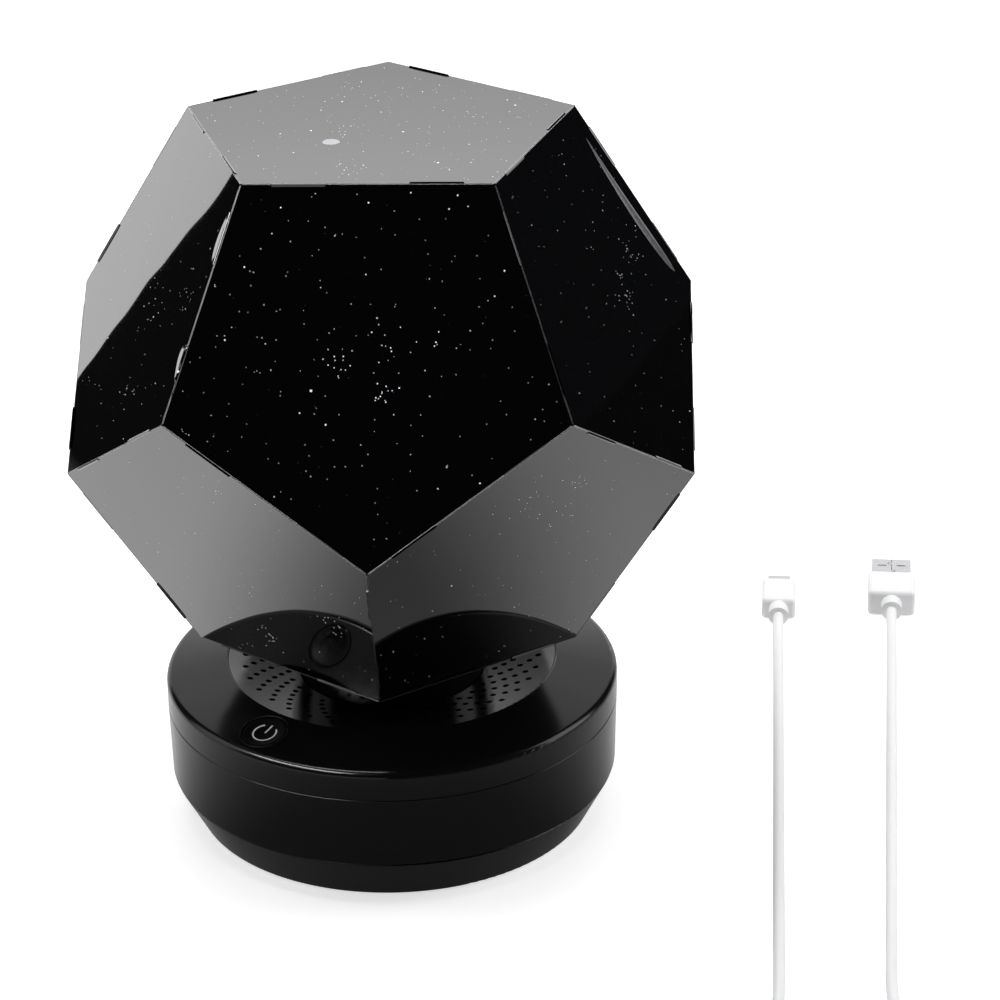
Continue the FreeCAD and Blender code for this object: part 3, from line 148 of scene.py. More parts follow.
# ---- Settings that a user would change ----
class FilmSettings(bpy.types.PropertyGroup):
    """The printed film of the star ball"""

    colour: FloatVectorProperty(
        name="Film colour", description="Colour of the black film", subtype="COLOR",
        default=linear("#020203")[:3], min=0, max=1,
    )
    wave_height: FloatProperty(
        name="Wave height", description="How far the thin film stands out of flat, in its waves",
        default=0.05 * MM, min=0, unit="LENGTH", precision=5,
    )
    stars: IntProperty(
        name="Stars", description="Scattered stars on each panel", default=200, min=0,
    )
    clusters: IntProperty(
        name="Clusters", description="Star clusters on each panel", default=3, min=0,
    )
    seed: IntProperty(name="Seed", description="Where the scattered stars fall", default=11)


class CasingSettings(bpy.types.PropertyGroup):
    """The black plastic of the base and its button"""

    colour: FloatVectorProperty(
        name="Plastic colour", description="Colour of the satin black plastic", subtype="COLOR",
        default=linear("#111112")[:3], min=0, max=1,
    )
    roughness: FloatProperty(
        name="Plastic roughness", description="Roughness of the satin plastic", subtype="FACTOR",
        default=0.19, min=0, max=1,
    )
    symbol_colour: FloatVectorProperty(
        name="Symbol colour", description="Colour of the printed power symbol", subtype="COLOR",
        default=linear("#E4E4E6")[:3], min=0, max=1,
    )


class LeadSettings(bpy.types.PropertyGroup):
    """The white USB lead"""

    diameter: FloatProperty(
        name="Lead diameter", description="Diameter of the round lead", default=3.1 * MM,
        min=0.5 * MM, unit="LENGTH", precision=5,
    )
    colour: FloatVectorProperty(
        name="Vinyl colour", description="Colour of the lead and its grips", subtype="COLOR",
        default=linear("#F5F5F6")[:3], min=0, max=1,
    )


class StageSettings(bpy.types.PropertyGroup):
    """The studio round the projector"""

    lamp_level: FloatProperty(
        name="Lamp level", description="Brightness of all the lamps", default=1.0, min=0,
    )
    floor_colour: FloatVectorProperty(
        name="Floor colour", description="Colour of the floor", subtype="COLOR",
        default=linear("#F2F2F2")[:3], min=0, max=1,
    )


# ---- Nodes and materials ----
def add_node(tree, kind, settings, links=()):
    """Add one node, set its properties and sockets, and link its inputs to other outputs."""
    node = tree.nodes.new(kind)
    for key, value in settings.items():
        if isinstance(key, str) and hasattr(node, key):
            setattr(node, key, value)
        else:
            node.inputs[key].default_value = value
    for key, output in dict(links).items():
        tree.links.new(output, node.inputs[key])
    return node


def new_tree(name):
    """A new material and its empty node tree."""
    material = bpy.data.materials.new(name)
    material.use_nodes = True
    material.node_tree.nodes.clear()
    return material, material.node_tree


def surface(
    name, colour, rough, uneven=0.04, mottle=0.05, patch=14.0, grain=0.5, relief=0.004,
    stretch=(1, 1, 1), dust=None, **sockets
):
    """A finish whose colour and roughness drift over patches and whose grain stands out of it.

    patch, grain and relief are millimetres. Mottle is a share of the colour, uneven is added to
    and taken from the roughness, and dust is what dusted() takes: spacing, speck and colour.
    """
    material, tree = new_tree(name)
    place = add_node(tree, "ShaderNodeTexCoord", {}).outputs["Object"]
    patches = add_node(
        tree, "ShaderNodeTexNoise", {"Scale": 1 / (patch * MM), "Detail": 2.0}, {"Vector": place}
    ).outputs["Fac"]
    darker = tuple(c * (1 - mottle) for c in colour[:3]) + (1.0,)
    lighter = tuple(min(1.0, c * (1 + mottle)) for c in colour[:3]) + (1.0,)
    tone = add_node(
        tree, "ShaderNodeMix", {"data_type": "RGBA", 6: darker, 7: lighter}, {0: patches}
    ).outputs[2]
    if dust:
        tone = dusted(tree, place, tone, *dust)
    roughness = add_node(
        tree, "ShaderNodeMapRange", {"To Min": max(0, rough - uneven), "To Max": rough + uneven},
        {"Value": patches},
    ).outputs["Result"]
    along = add_node(
        tree, "ShaderNodeMapping", {"Scale": stretch}, {"Vector": place}
    ).outputs["Vector"]
    grains = add_node(
        tree, "ShaderNodeTexNoise", {"Scale": 1 / (grain * MM), "Detail": 1.0}, {"Vector": along}
    ).outputs["Fac"]
    raised = add_node(
        tree, "ShaderNodeBump", {"Distance": relief * MM, "Strength": 1.0}, {"Height": grains}
    ).outputs["Normal"]
    shader = add_node(
        tree, "ShaderNodeBsdfPrincipled", sockets,
        {"Base Color": tone, "Roughness": roughness, "Normal": raised, "Coat Normal": raised},
    )
    add_node(tree, "ShaderNodeOutputMaterial", {}, {"Surface": shader.outputs["BSDF"]})
    return material


def dusted(tree, place, tone, spacing, speck, colour):
    """Sprinkle round specks of one colour over a tone: spacing and speck radius in millimetres."""
    cells = add_node(
        tree, "ShaderNodeTexVoronoi", {"Scale": 1 / (spacing * MM)}, {"Vector": place}
    ).outputs["Distance"]
    inside = add_node(
        tree, "ShaderNodeMapRange",
        {"From Min": speck / spacing, "From Max": 0.6 * speck / spacing}, {"Value": cells},
    ).outputs["Result"]
    return add_node(
        tree, "ShaderNodeMix", {"data_type": "RGBA", 7: colour}, {0: inside, 6: tone}
    ).outputs[2]


def make_finishes():
    """Every finish by its material slot."""
    scene = bpy.context.scene
    film = scene.projector_film
    casing = scene.projector_casing
    vinyl = (*scene.projector_lead.colour, 1.0)
    return {
        # Glossy printed polyester film: a deep black that mirrors the room in slow waves, with the
        # print's faintest stars as a fine dust.
        "printed_film": surface(
            "glossy printed polyester film", (*film.colour, 1.0), 0.012, uneven=0.004, patch=30.0,
            grain=34.0, relief=film.wave_height / MM, dust=(2.6, 0.09, linear("#8A8C94")),
            **{"Coat Weight": 1.0, "Coat Roughness": 0.008, "IOR": 1.5},
        ),
        # Bare polyester at the film's cut and rolled edges: pale, thin and a little milky, and
        # made pale as a painted highlight along the lit seams.
        "film_edge": surface(
            "bare polyester edge", linear("#BEBEC1"), 0.25, mottle=0.25, patch=5.0, grain=0.4,
        ),
        # Grey on the film's buckle: a painted highlight for the streak that the swelling mirrors,
        # dull and blotched along the crease.
        "crease_painted_highlight": surface(
            "buckled film with painted highlight", linear("#525256"), 0.32, uneven=0.08, mottle=0.6, patch=1.1,
            grain=0.6, relief=0.05,
        ),
        # White screen ink over the lamp's clear dots: matt, with a painted glow that keeps the
        # dots bright where the film lies in shade.
        "star_ink": surface(
            "white screen ink", linear("#F6F7FC"), 0.55, grain=0.3, relief=0.002,
            **{"Emission Color": linear("#EEF2FF"), "Emission Strength": 0.5},
        ),
        # Thin grey ink of the printed moon: matt and half clear.
        "moon_ink": surface("grey moon ink", linear("#C6C8CB"), 0.5, grain=0.8, mottle=0.15),
        # Satin ABS moulded in a lightly spark-eroded tool: dark sides, a soft sheen on the rounds.
        "satin_black": surface(
            "satin moulded ABS", (*casing.colour, 1.0), casing.roughness, uneven=0.03, patch=25.0,
            grain=0.45, relief=0.006, **{"Specular IOR Level": 0.24},
        ),
        # Painted perforated sheet: a little greyer and more even than the ABS round it.
        "grille_black": surface(
            "satin painted steel sheet", linear("#131314"), 0.12, uneven=0.02, patch=9.0,
            grain=0.35, relief=0.005, **{"Specular IOR Level": 1.0},
        ),
        # Fine-sparked ABS: darker than the casing, with a dull highlight in its dish.
        "button_black": surface(
            "matt ABS", linear("#0E0E0F"), 0.34, grain=0.6, relief=0.002, uneven=0.03,
            **{"Specular IOR Level": 0.07},
        ),
        # Screen ink on the button: matt light grey, with a faint painted glow that lifts it out of
        # the ball's shade.
        "symbol_ink": surface(
            "grey screen ink", (*casing.symbol_colour, 1.0), 0.6, grain=0.2, relief=0.002,
            **{"Emission Color": linear("#FFFFFF"), "Emission Strength": 0.12},
        ),
        # Nitrile rubber: matt, with a slight bloom.
        "foot_rubber": surface(
            "nitrile rubber", linear("#1E1E1E"), 0.8, mottle=0.15, grain=0.6, relief=0.02,
        ),
        # Zinc-plated steel: bright and slightly cloudy.
        "screw_steel": surface(
            "zinc plated steel", linear("#BFC0C2"), 0.32, uneven=0.08, patch=2.0,
            **{"Metallic": 1.0},
        ),
        # Natural acetal: milky and waxy, with a little depth.
        "natural_acetal": surface(
            "natural moulded acetal", linear("#E6E5DE"), 0.38, mottle=0.03,
            **{"IOR": 1.48, "Subsurface Weight": 0.1, "Subsurface Scale": 1.0 * MM},
        ),
        # Glass-filled nylon: dull, with a fibrous fleck.
        "inner_black": surface(
            "glass filled nylon", linear("#161617"), 0.6, mottle=0.2, grain=0.8, relief=0.012,
        ),
        # Drawn aluminium: pale, with fine lines along its length.
        "bare_aluminium": surface(
            "drawn aluminium", linear("#D2D3D5"), 0.3, grain=0.3, stretch=(1, 1, 0.05),
            **{"Metallic": 1.0},
        ),
        # Deep-drawn nickel-plated steel: bright, with soft wide highlights.
        "motor_steel": surface(
            "nickel plated drawn steel", linear("#C4C4C6"), 0.26, patch=5.0, **{"Metallic": 1.0}
        ),
        # Turned brass: warm and worn to a mixed polish.
        "gearbox_brass": surface(
            "turned brass", linear("#C9A45C"), 0.3, uneven=0.08, patch=3.0, **{"Metallic": 1.0}
        ),
        # Solder resist over copper and glass cloth: green and glossy, with darker patches.
        "board_green": surface(
            "green solder resist", linear("#1E6B35"), 0.25, mottle=0.2, patch=3.0, grain=0.4,
            relief=0.008,
        ),
        # Epoxy moulding compound: flat black chips.
        "component_black": surface("epoxy moulding compound", linear("#1C1C1C"), 0.55, mottle=0.1),
        # Phosphor-filled silicone: chalky yellow.
        "led_yellow": surface("phosphor silicone", linear("#E5C63A"), 0.5, mottle=0.1, patch=1.0),
        # Clear cast epoxy: a water-clear lens.
        "clear_dome": surface(
            "clear cast epoxy", linear("#F4F6F6"), 0.06, uneven=0.01, relief=0.0005,
            **{"Transmission Weight": 1.0, "IOR": 1.52},
        ),
        # PVC shrink sleeve: blue, drawn into faint rings round the cell.
        "cell_wrap": surface(
            "blue PVC shrink sleeve", linear("#1F4F9C"), 0.28, grain=2.0, relief=0.03,
            stretch=(0.2, 1, 0.2),
        ),
        # PVC insulation: bright red and slightly waxy.
        "lead_red": surface("red PVC insulation", linear("#B3201C"), 0.42, mottle=0.08),
        # Soft PVC, over-moulded and extruded: near-white and smooth, with a broad soft highlight.
        "white_vinyl": surface(
            "soft white PVC", vinyl, 0.4, uneven=0.05, mottle=0.02, grain=0.7,
        ),
        # Stamped nickel-plated steel: cool and bright, a little dulled, with light rolling lines.
        "plug_steel": surface(
            "stamped nickel plated steel", linear("#D2D2D5"), 0.22, uneven=0.05, patch=4.0,
            grain=0.25, relief=0.002, stretch=(1, 0.06, 1), **{"Metallic": 0.75},
        ),
        # Near-black: the dark line of the USB shell's seam, and painted shade in the micro plug's
        # slots, where the shell's inside lies in shade.
        "seam_and_painted_shade": surface("dark seam and painted shade", linear("#0C0C0D"), 0.7),
    }


finishes = {}  # filled by main, once the settings are registered


# ---- Building pieces ----
def add_object(name, data):
    """A new object in the scene that shows the given data."""
    made = bpy.data.objects.new(name, data)
    bpy.context.scene.collection.objects.link(made)
    return made


def refinish(node, finish):
    """Give a carried-over node one of the finishes."""
    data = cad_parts[node].data
    data.materials.clear()
    data.materials.append(finishes[finish])


class Skin:
    """Gathers one piece's corners and faces, in millimetres, in a frame of its own."""

    def __init__(self, place=None):
        self.place = place or Matrix.Identity(4)
        self.corners = []
        self.faces = []

    def loft(self, rings, loop=False):
        """Skin a row of equal rings of points: capped, or its last ring joined to its first."""
        first = len(self.corners)
        count = len(rings[0])
        for ring in rings:
            self.corners += [self.place @ Vector(point) for point in ring]
        for span in range(len(rings) - (0 if loop else 1)):
            here = first + span * count
            there = first + (span + 1) % len(rings) * count
            for side in range(count):
                after = (side + 1) % count
                self.faces.append((here + side, here + after, there + after, there + side))
        if not loop:
            self.faces.append(tuple(reversed(range(first, first + count))))
            last = first + (len(rings) - 1) * count
            self.faces.append(tuple(range(last, last + count)))

    def piece(self, name, finish, body, slot, sharp=35):
        """Turn the skin into an object with a finish, riding on a body."""
        data = bpy.data.meshes.new(name)
        data.from_pydata([corner * MM for corner in self.corners], [], self.faces)
        work = bmesh.new()
        work.from_mesh(data)
        bmesh.ops.recalc_face_normals(work, faces=work.faces)
        work.to_mesh(data)
        work.free()
        data.shade_smooth()
        data.set_sharp_from_angle(angle=math.radians(sharp))
        data.materials.append(finishes[finish])
        made = add_object(name, data)
        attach(made, body)
        return made


def polar(radius, degrees, z=0.0):
    """A point by its distance from the Z axis, its angle round it and its height."""
    turn = math.radians(degrees)
    return Vector((radius * math.cos(turn), radius * math.sin(turn), z))


def turn_about(axis, degrees):
    """A turn about one of the axes."""
    return Matrix.Rotation(math.radians(degrees), 4, axis)


def shares(count):
    """Evenly spaced numbers from -1 to 1."""
    return [-1 + 2 * step / (count - 1) for step in range(count)]


def ball_size():
    """Height of the ball's middle, and the distance from it to each panel's face."""
    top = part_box("star_panel_top")[1].z / MM
    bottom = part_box("star_panel_bottom")[0].z / MM
    return (top + bottom) / 2, (top - bottom) / 2


def panel_places():
    """Each panel's short name and the frame at the middle of its outer face, Z outward."""
    turns = {"top": Matrix.Identity(4), "bottom": turn_about("X", 180)}
    for step in range(5):
        turns[f"upper_{step + 1}"] = (
            turn_about("Z", SIDE_TURN * step) @ turn_about("X", FOLD) @ turn_about("Z", 180)
        )
        turns[f"lower_{step + 1}"] = (
            turn_about("Z", SIDE_TURN * (step + 0.5)) @ turn_about("X", 180 - FOLD)
        )
    middle, inradius = ball_size()
    up = Matrix.Translation((0, 0, middle))
    out = Matrix.Translation((0, 0, inradius))
    return {name: up @ turn @ out for name, turn in turns.items()}


def panel_apothem():
    """Distance from the middle of a panel to the middle of its side."""
    return ball_size()[1] * math.tan(math.radians(FOLD / 2))


def side_frame(place, side):
    """A panel's frame turned so that X points out through the middle of one side."""
    return place @ turn_about("Z", SIDE_TURN * side - 90)


def button_frame():
    """The middle of the button on the sloping ring: Z square to it, X down the slope."""
    place = Matrix.Translation(polar(BUTTON_RADIUS, BUTTON_ANGLE, BUTTON_Z))
    return place @ turn_about("Z", BUTTON_ANGLE) @ turn_about("Y", RING_SLOPE)


def dish_z(radius):
    """Height of the button's dish at a distance from its middle, in the button's frame."""
    sphere = (DISH_RADIUS**2 + DISH_DEPTH**2) / (2 * DISH_DEPTH)
    return sphere - math.sqrt(sphere**2 - radius**2) - DISH_DEPTH - BUTTON_SUNK


# ---- Operators ----
class PROJECTOR_OT_camera(bpy.types.Operator):
    """Set up the camera, a long lens a little above the ball"""

    bl_idname = "projector.camera"
    bl_label = "Camera"

    def execute(self, context):
        data = bpy.data.cameras.new("camera")
        data.lens = LENS
        data.sensor_width = SENSOR_WIDTH
        camera = add_object("camera", data)
        place = Matrix.Translation(Vector(CAMERA_PLACE) * MM)
        aim = turn_about("Z", CAMERA_TURN) @ turn_about("X", 90 - CAMERA_DOWN)
        aim @= turn_about("Z", CAMERA_ROLL)
        camera.matrix_world = place @ aim
        context.scene.camera = camera
        return {"FINISHED"}


class PROJECTOR_OT_usb_lead(bpy.types.Operator):
    """Lay the white lead from plug to plug, its spare length in a tied coil"""

    bl_idname = "projector.usb_lead"
    bl_label = "USB lead"

    tie_half_width = 2.6
    tie_thickness = 0.5
    tie_buckle = 1.25  # thickness of the tie's middle, as a share of its edges'
    tie_steps = 28
    tie_corners = 0.6  # 1 would make the tie round, and less squares it
    strand_bulk = 3.25  # half the width and height of the four tied strands
    tie_middle_z = 3.3
    tie_lowest = 0.05
    strands_lowest = 0.3

    def coil_points(self):
        """Points along the coil's winding."""
        step = 360 / COIL_POINTS_PER_TURN
        points = []
        turned = step
        while turned <= COIL_WINDING[-1][0]:
            for here, there in zip(COIL_WINDING, COIL_WINDING[1:]):
                if here[0] <= turned <= there[0]:
                    share = (turned - here[0]) / (there[0] - here[0])
                    radius, z = [here[at] + (there[at] - here[at]) * share for at in (1, 2)]
            spot = polar(radius, COIL_START + turned, z)
            points.append((COIL_CENTRE[0] + spot.x, COIL_CENTRE[1] + spot.y, spot.z))
            turned += step
        return points

    def tie_skin(self):
        """A flat tie that goes once round the coil's four strands, at the coil's far side."""
        skin = Skin(Matrix.Translation((*COIL_CENTRE, 0)))
        middle = (COIL_INNER + COIL_OUTER) / 2
        rings = []
        for step in range(self.tie_steps):
            turn = math.radians(360 / self.tie_steps * step)
            across = math.copysign(abs(math.cos(turn)) ** self.tie_corners, math.cos(turn))
            up = math.copysign(abs(math.sin(turn)) ** self.tie_corners, math.sin(turn))
            ring = []
            for along, out in [(-1, 0), (1, 0), (1, 1), (0, self.tie_buckle), (-1, 1)]:
                size = self.strand_bulk + self.tie_thickness * out
                lowest = self.tie_lowest if out else self.strands_lowest
                z = max(lowest, self.tie_middle_z + size * up)
                ring.append((along * self.tie_half_width, middle + size * across, z))
            rings.append(ring)
        skin.loft(rings, loop=True)
        return skin

    def execute(self, context):
        settings = context.scene.projector_lead
        route = MICRO_ROUTE + self.coil_points() + USB_ROUTE[::-1]
        curve = bpy.data.curves.new("usb_lead", "CURVE")
        curve.dimensions = "3D"
        curve.bevel_depth = settings.diameter / 2
        curve.bevel_resolution = 6
        curve.use_fill_caps = True
        spline = curve.splines.new("NURBS")
        spline.points.add(len(route) - 1)
        for point, spot in zip(spline.points, route):
            point.co = (*(Vector(spot) * MM), 1.0)
        spline.order_u = 3
        spline.use_endpoint_u = True
        spline.resolution_u = 8
        curve.materials.append(finishes["white_vinyl"])
        lead = add_object("usb_lead", curve)
        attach(lead, "base")
        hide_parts("cable_coil", "cable_micro_run", "cable_usb_run")

        tie = self.tie_skin().piece("lead_tie", "white_vinyl", "base", "white_vinyl")
        plugs = [
            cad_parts[name] for name in (
                "micro_plug_shell", "micro_plug_grip",
                "usb_plug_shell", "usb_plug_grip", "usb_plug_tongue",
            )
        ]
        for piece in [lead, tie, *plugs]:
            piece.visible_glossy = False
        return {"FINISHED"}


class PROJECTOR_OT_casing(bpy.types.Operator):
    """Give every carried-over part of the casing, works and plugs its real finish"""

    bl_idname = "projector.casing"
    bl_label = "Casing and works"

    def execute(self, context):
        for finish, nodes in FINISH_NODES.items():
            for name in nodes:
                refinish(name, finish)
        return {"FINISHED"}


class PROJECTOR_OT_star_film(bpy.types.Operator):
    """Give the twelve star panels their glossy film"""

    bl_idname = "projector.star_film"
    bl_label = "Star film"

    def execute(self, context):
        for name in panel_places():
            refinish("star_panel_" + name, "printed_film")
        return {"FINISHED"}


class PROJECTOR_OT_star_print(bpy.types.Operator):
    """Print each panel with a scatter of white stars and a few clusters"""

    bl_idname = "projector.star_print"
    bl_label = "Star print"

    margin = 1.6  # without print, along each side
    carrier_clearance = 30.0  # no stars under the carrier's flange
    large_print = ("top", "upper_1")
    fine_print = 0.68  # size of the dots on the other panels, where they are fewer by its square

    faintest, brightest = 0.08, 0.32  # radii of the scattered stars
    least_share = 0.015  # each radius is the faintest times a random share, from this one to 1,
    share_power = -0.36  # to this power

    cluster_reach = 0.6  # how far out the clusters' middles lie, as a share of the panel
    cluster_spread = (1.6, 4.0)
    cluster_count = (7, 15)
    cluster_radius = (0.09, 0.2)

    dot_sides = (5, 6, 7)
    dot_raggedness = (0.8, 1.15)
    moon_at = (-11.0, -12.0)
    moon_radius = 2.2
    moon_sides = 36

    def on_panel(self, x, y, bare):
        """Whether a spot takes print: inside the margin and past the bare middle."""
        reach = panel_apothem() - self.margin
        sides = [polar(1, SIDE_TURN * side - 90) for side in range(5)]
        return math.hypot(x, y) >= bare and all(x * out.x + y * out.y < reach for out in sides)

    def print_dot(self, skin, x, y, outline):
        """One dot of ink, half sunk in the film."""
        skin.loft([
            [(x + spot.x, y + spot.y, z) for spot in outline]
            for z in (-DOT_THICKNESS / 2, DOT_THICKNESS / 2)
        ])

    def dots(self, rng, settings, name):
        """Middle and radius of each star of one panel."""
        span = panel_apothem() / math.cos(math.radians(SIDE_TURN / 2))
        bare = self.carrier_clearance if name == "bottom" else 0
        fine = 1.0 if name in self.large_print else self.fine_print
        dots = []
        while len(dots) < settings.stars * fine**2:
            x, y = rng.uniform(-span, span), rng.uniform(-span, span)
            if self.on_panel(x, y, bare):
                radius = self.faintest * rng.uniform(self.least_share, 1) ** self.share_power
                dots.append((x, y, fine * min(self.brightest, radius)))
        for _ in range(settings.clusters):
            mid_x = rng.uniform(-span, span) * self.cluster_reach
            mid_y = rng.uniform(-span, span) * self.cluster_reach
            spread = rng.uniform(*self.cluster_spread)
            for _ in range(rng.randint(*self.cluster_count)):
                x, y = rng.gauss(mid_x, spread), rng.gauss(mid_y, spread)
                if self.on_panel(x, y, bare):
                    dots.append((x, y, fine * rng.uniform(*self.cluster_radius)))
        return dots

    def ragged_outline(self, rng, radius):
        """A dot's outline: a few corners, each a little nearer or farther than the last."""
        sides = rng.choice(self.dot_sides)
        start = rng.uniform(0, 360)
        return [
            polar(radius * rng.uniform(*self.dot_raggedness), start + 360 / sides * corner)
            for corner in range(sides)
        ]

    def execute(self, context):
        settings = context.scene.projector_film
        rng = random.Random(settings.seed)
        for name, place in panel_places().items():
            skin = Skin(place)
            for x, y, radius in self.dots(rng, settings, name):
                self.print_dot(skin, x, y, self.ragged_outline(rng, radius))
            skin.piece("stars_" + name, "star_ink", "star_ball", "printed_film")
        moon = Skin(panel_places()["top"])
        corners = range(self.moon_sides)
        disc = [polar(self.moon_radius, 360 / self.moon_sides * corner) for corner in corners]
        self.print_dot(moon, *self.moon_at, disc)
        moon.piece("printed_moon", "moon_ink", "star_ball", "printed_film")
        return {"FINISHED"}


class PROJECTOR_OT_film_edges(bpy.types.Operator):
    """Roll the film's edges, curl its tabs over the seams and buckle it along one side"""

    bl_idname = "projector.film_edges"
    bl_label = "Film edges"

    bead_inset = 0.14  # from the side to the middle of the rolled edge
    bead_radius = 0.07
    bead_root = -0.06  # how far the rolled edge reaches into the film
    bead_taper = 0.5  # length of each end
    bead_end = 0.2  # height at the very end, as a share of the full height
    corner_gap = 0.4  # from the end of a rolled edge to the panel's corner

    sheet = 0.16  # thickness of the ends of tabs and flaps
    sheet_start = -0.35  # where they start, inside the side
    sheet_lift = 0.02  # how far they lie above the panel
    sheet_rows, sheet_columns = 15, 8

    tab_reach = 0.45
    tab_brow = 0.2  # where the tab starts to curl down
    tab_curl = 0.9  # its drop, per square of the distance past there
    slot_play = 0.3  # how much longer than the tab its end is

    flap_reach = 0.4
    flap_brow = 0.35  # where the flap folds down
    flap_press = 3.5  # degrees that it folds past the slope of the next panel

    # How far the ends of the tabs that stand out most are crowned. The rest take a random crown.
    curled = {
        ("top", 3): 0.4, ("top", 2): 0.6, ("upper_5", 2): 0.7,
        ("lower_4", 2): 0.4, ("lower_2", 3): 0.3,
    }
    flat_crown = (0.02, 0.12)

    # The seam at the right of the front panel shows no pale edge: its rolled edges take the black
    # film, as painted shade.
    painted_shade_seams = {("upper_1", 4), ("upper_2", 1)}

    def bead(self, skin, apothem, start, end):
        """One rolled edge, half round."""
        middle = apothem - self.bead_inset
        full_start, full_end = start + self.bead_taper, end - self.bead_taper
        rings = []
        for along, share in [
            (start, self.bead_end), (full_start, 1), (full_end, 1), (end, self.bead_end)
        ]:
            ring = [(middle + self.bead_radius, along, self.bead_root)]
            for step in range(7):
                spot = polar(self.bead_radius, 180 / 6 * step)
                ring.append((middle + spot.x, along, spot.y * share))
            ring.append((middle - self.bead_radius, along, self.bead_root))
            rings.append(ring)
        skin.loft(rings)

    def sheet_end(self, skin, profile, length, middle, reaches):
        """The end of a sheet that runs out over a seam.

        profile gives a spot on its top and the direction into it for each distance past the side,
        and reaches gives how far the sheet runs at each share of its length.
        """
        last = self.sheet_columns - 1
        rings = []
        for share in shares(self.sheet_rows):
            along = middle + share * length / 2
            span = reaches(share) - self.sheet_start
            top, under = [], []
            for column in range(self.sheet_columns):
                (x, z), (inward_x, inward_z) = profile(self.sheet_start + span * column / last)
                top.append((x, along, z))
                under.append((x + inward_x * self.sheet, along, z + inward_z * self.sheet))
            rings.append(top + under[::-1])
        skin.loft(rings)

    def tab(self, skin, apothem, crown):
        """One tab's end, a low D that stands past the seam and curls down a little."""
        def profile(x):
            drop = self.tab_curl * max(0, x - self.tab_brow) ** 2
            return (apothem + x, self.sheet_lift - drop), (0, -1)

        def reaches(share):
            return self.tab_reach + crown * math.sqrt(max(0, 1 - share**2))

        self.sheet_end(skin, profile, TAB_LENGTH + self.slot_play, -TAB_OFFSET, reaches)

    def flap(self, skin, apothem, middle, length, crown, skew):
        """A wider D that folds over the seam and lies on the next panel."""
        turn = math.radians(FOLD + self.flap_press)

        def profile(x):
            if x <= self.flap_brow:
                return (apothem + x, self.sheet_lift), (0, -1)
            over = x - self.flap_brow
            out = apothem + self.flap_brow + over * math.cos(turn)
            up = self.sheet_lift - over * math.sin(turn)
            return (out, up), (-math.sin(turn), -math.cos(turn))

        def reaches(share):
            return self.flap_reach + crown * math.sqrt(max(0, 1 - share**2)) * (1 + skew * share)

        self.sheet_end(skin, profile, length, middle, reaches)

    def buckle(self, skin, apothem):
        """A long low swelling just inside a side, wider at its near end."""
        half_length = 23.5
        height = 0.24
        root = -0.05  # how far it reaches into the film
        inset, bow = 5.0, 1.3  # from the side to its ends, and how much more at its middle
        half_width, taper = 1.6, 0.7
        rings = []
        for share in shares(21):
            swell = max(0.004, 1 - share**2)
            middle = apothem - inset - bow * swell
            reach = (half_width - taper * share) * math.sqrt(swell)
            along = half_length * share
            ring = [(middle - reach, along, root)]
            for across in shares(9):
                ring.append((middle + reach * across, along, height * swell * (1 - across**2)))
            ring.append((middle + reach, along, root))
            rings.append(ring)
        skin.loft(rings)

    def takes_painted_shade(self, name, side):
        """Whether a side's rolled edge takes the black film in place of the pale edge, as painted
        shade: the sides that face down and the seam at the right of the front panel.
        """
        if name == "bottom" or (name.startswith("lower") and side in (0, 1, 4)):
            return True
        return (name, side) in self.painted_shade_seams

    def execute(self, context):
        rng = random.Random(context.scene.projector_film.seed)
        apothem = panel_apothem()
        half_side = apothem * math.tan(math.radians(SIDE_TURN / 2))
        reach = half_side - self.corner_gap
        rims_in_painted_shade = Skin()
        for name, place in panel_places().items():
            beads, tabs = Skin(), Skin()
            for side in range(5):
                # Rolled edges in shade take the black film instead of the pale edge: painted
                # shade.
                rim = rims_in_painted_shade if self.takes_painted_shade(name, side) else beads
                rim.place = tabs.place = side_frame(place, side)
                self.bead(rim, apothem, -reach, reach)
                crown = rng.uniform(*self.flat_crown)
                self.tab(tabs, apothem, self.curled.get((name, side), crown))
            # The pale rolled edges draw the lit seams as a painted highlight.
            if beads.faces:
                beads.piece("film_rims_" + name, "film_edge", "star_ball", "printed_film")
            tabs.piece("film_tabs_" + name, "printed_film", "star_ball", "printed_film")

        # Two flaps of the front panel lie folded over the seam at its left.
        flaps = Skin(side_frame(panel_places()["upper_1"], 1))
        self.flap(
            flaps, apothem, middle=-TAB_OFFSET, length=TAB_LENGTH, crown=3.4, skew=0.15,
        )
        self.flap(
            flaps, apothem, middle=TAB_OFFSET - 1.8, length=9.6, crown=3.0, skew=-0.6,
        )
        flaps.piece("film_flaps", "printed_film", "star_ball", "printed_film", sharp=25)
        rims_in_painted_shade.piece("film_rims_painted_shade", "printed_film", "star_ball", "printed_film")

        # The film buckles along the outer side of the panel at the right, and the swelling carries
        # a painted highlight.
        bend = Skin(side_frame(panel_places()["upper_2"], 4))
        self.buckle(bend, apothem)
        bend.piece("film_bend", "crease_painted_highlight", "star_ball", "printed_film", sharp=60)
        return {"FINISHED"}


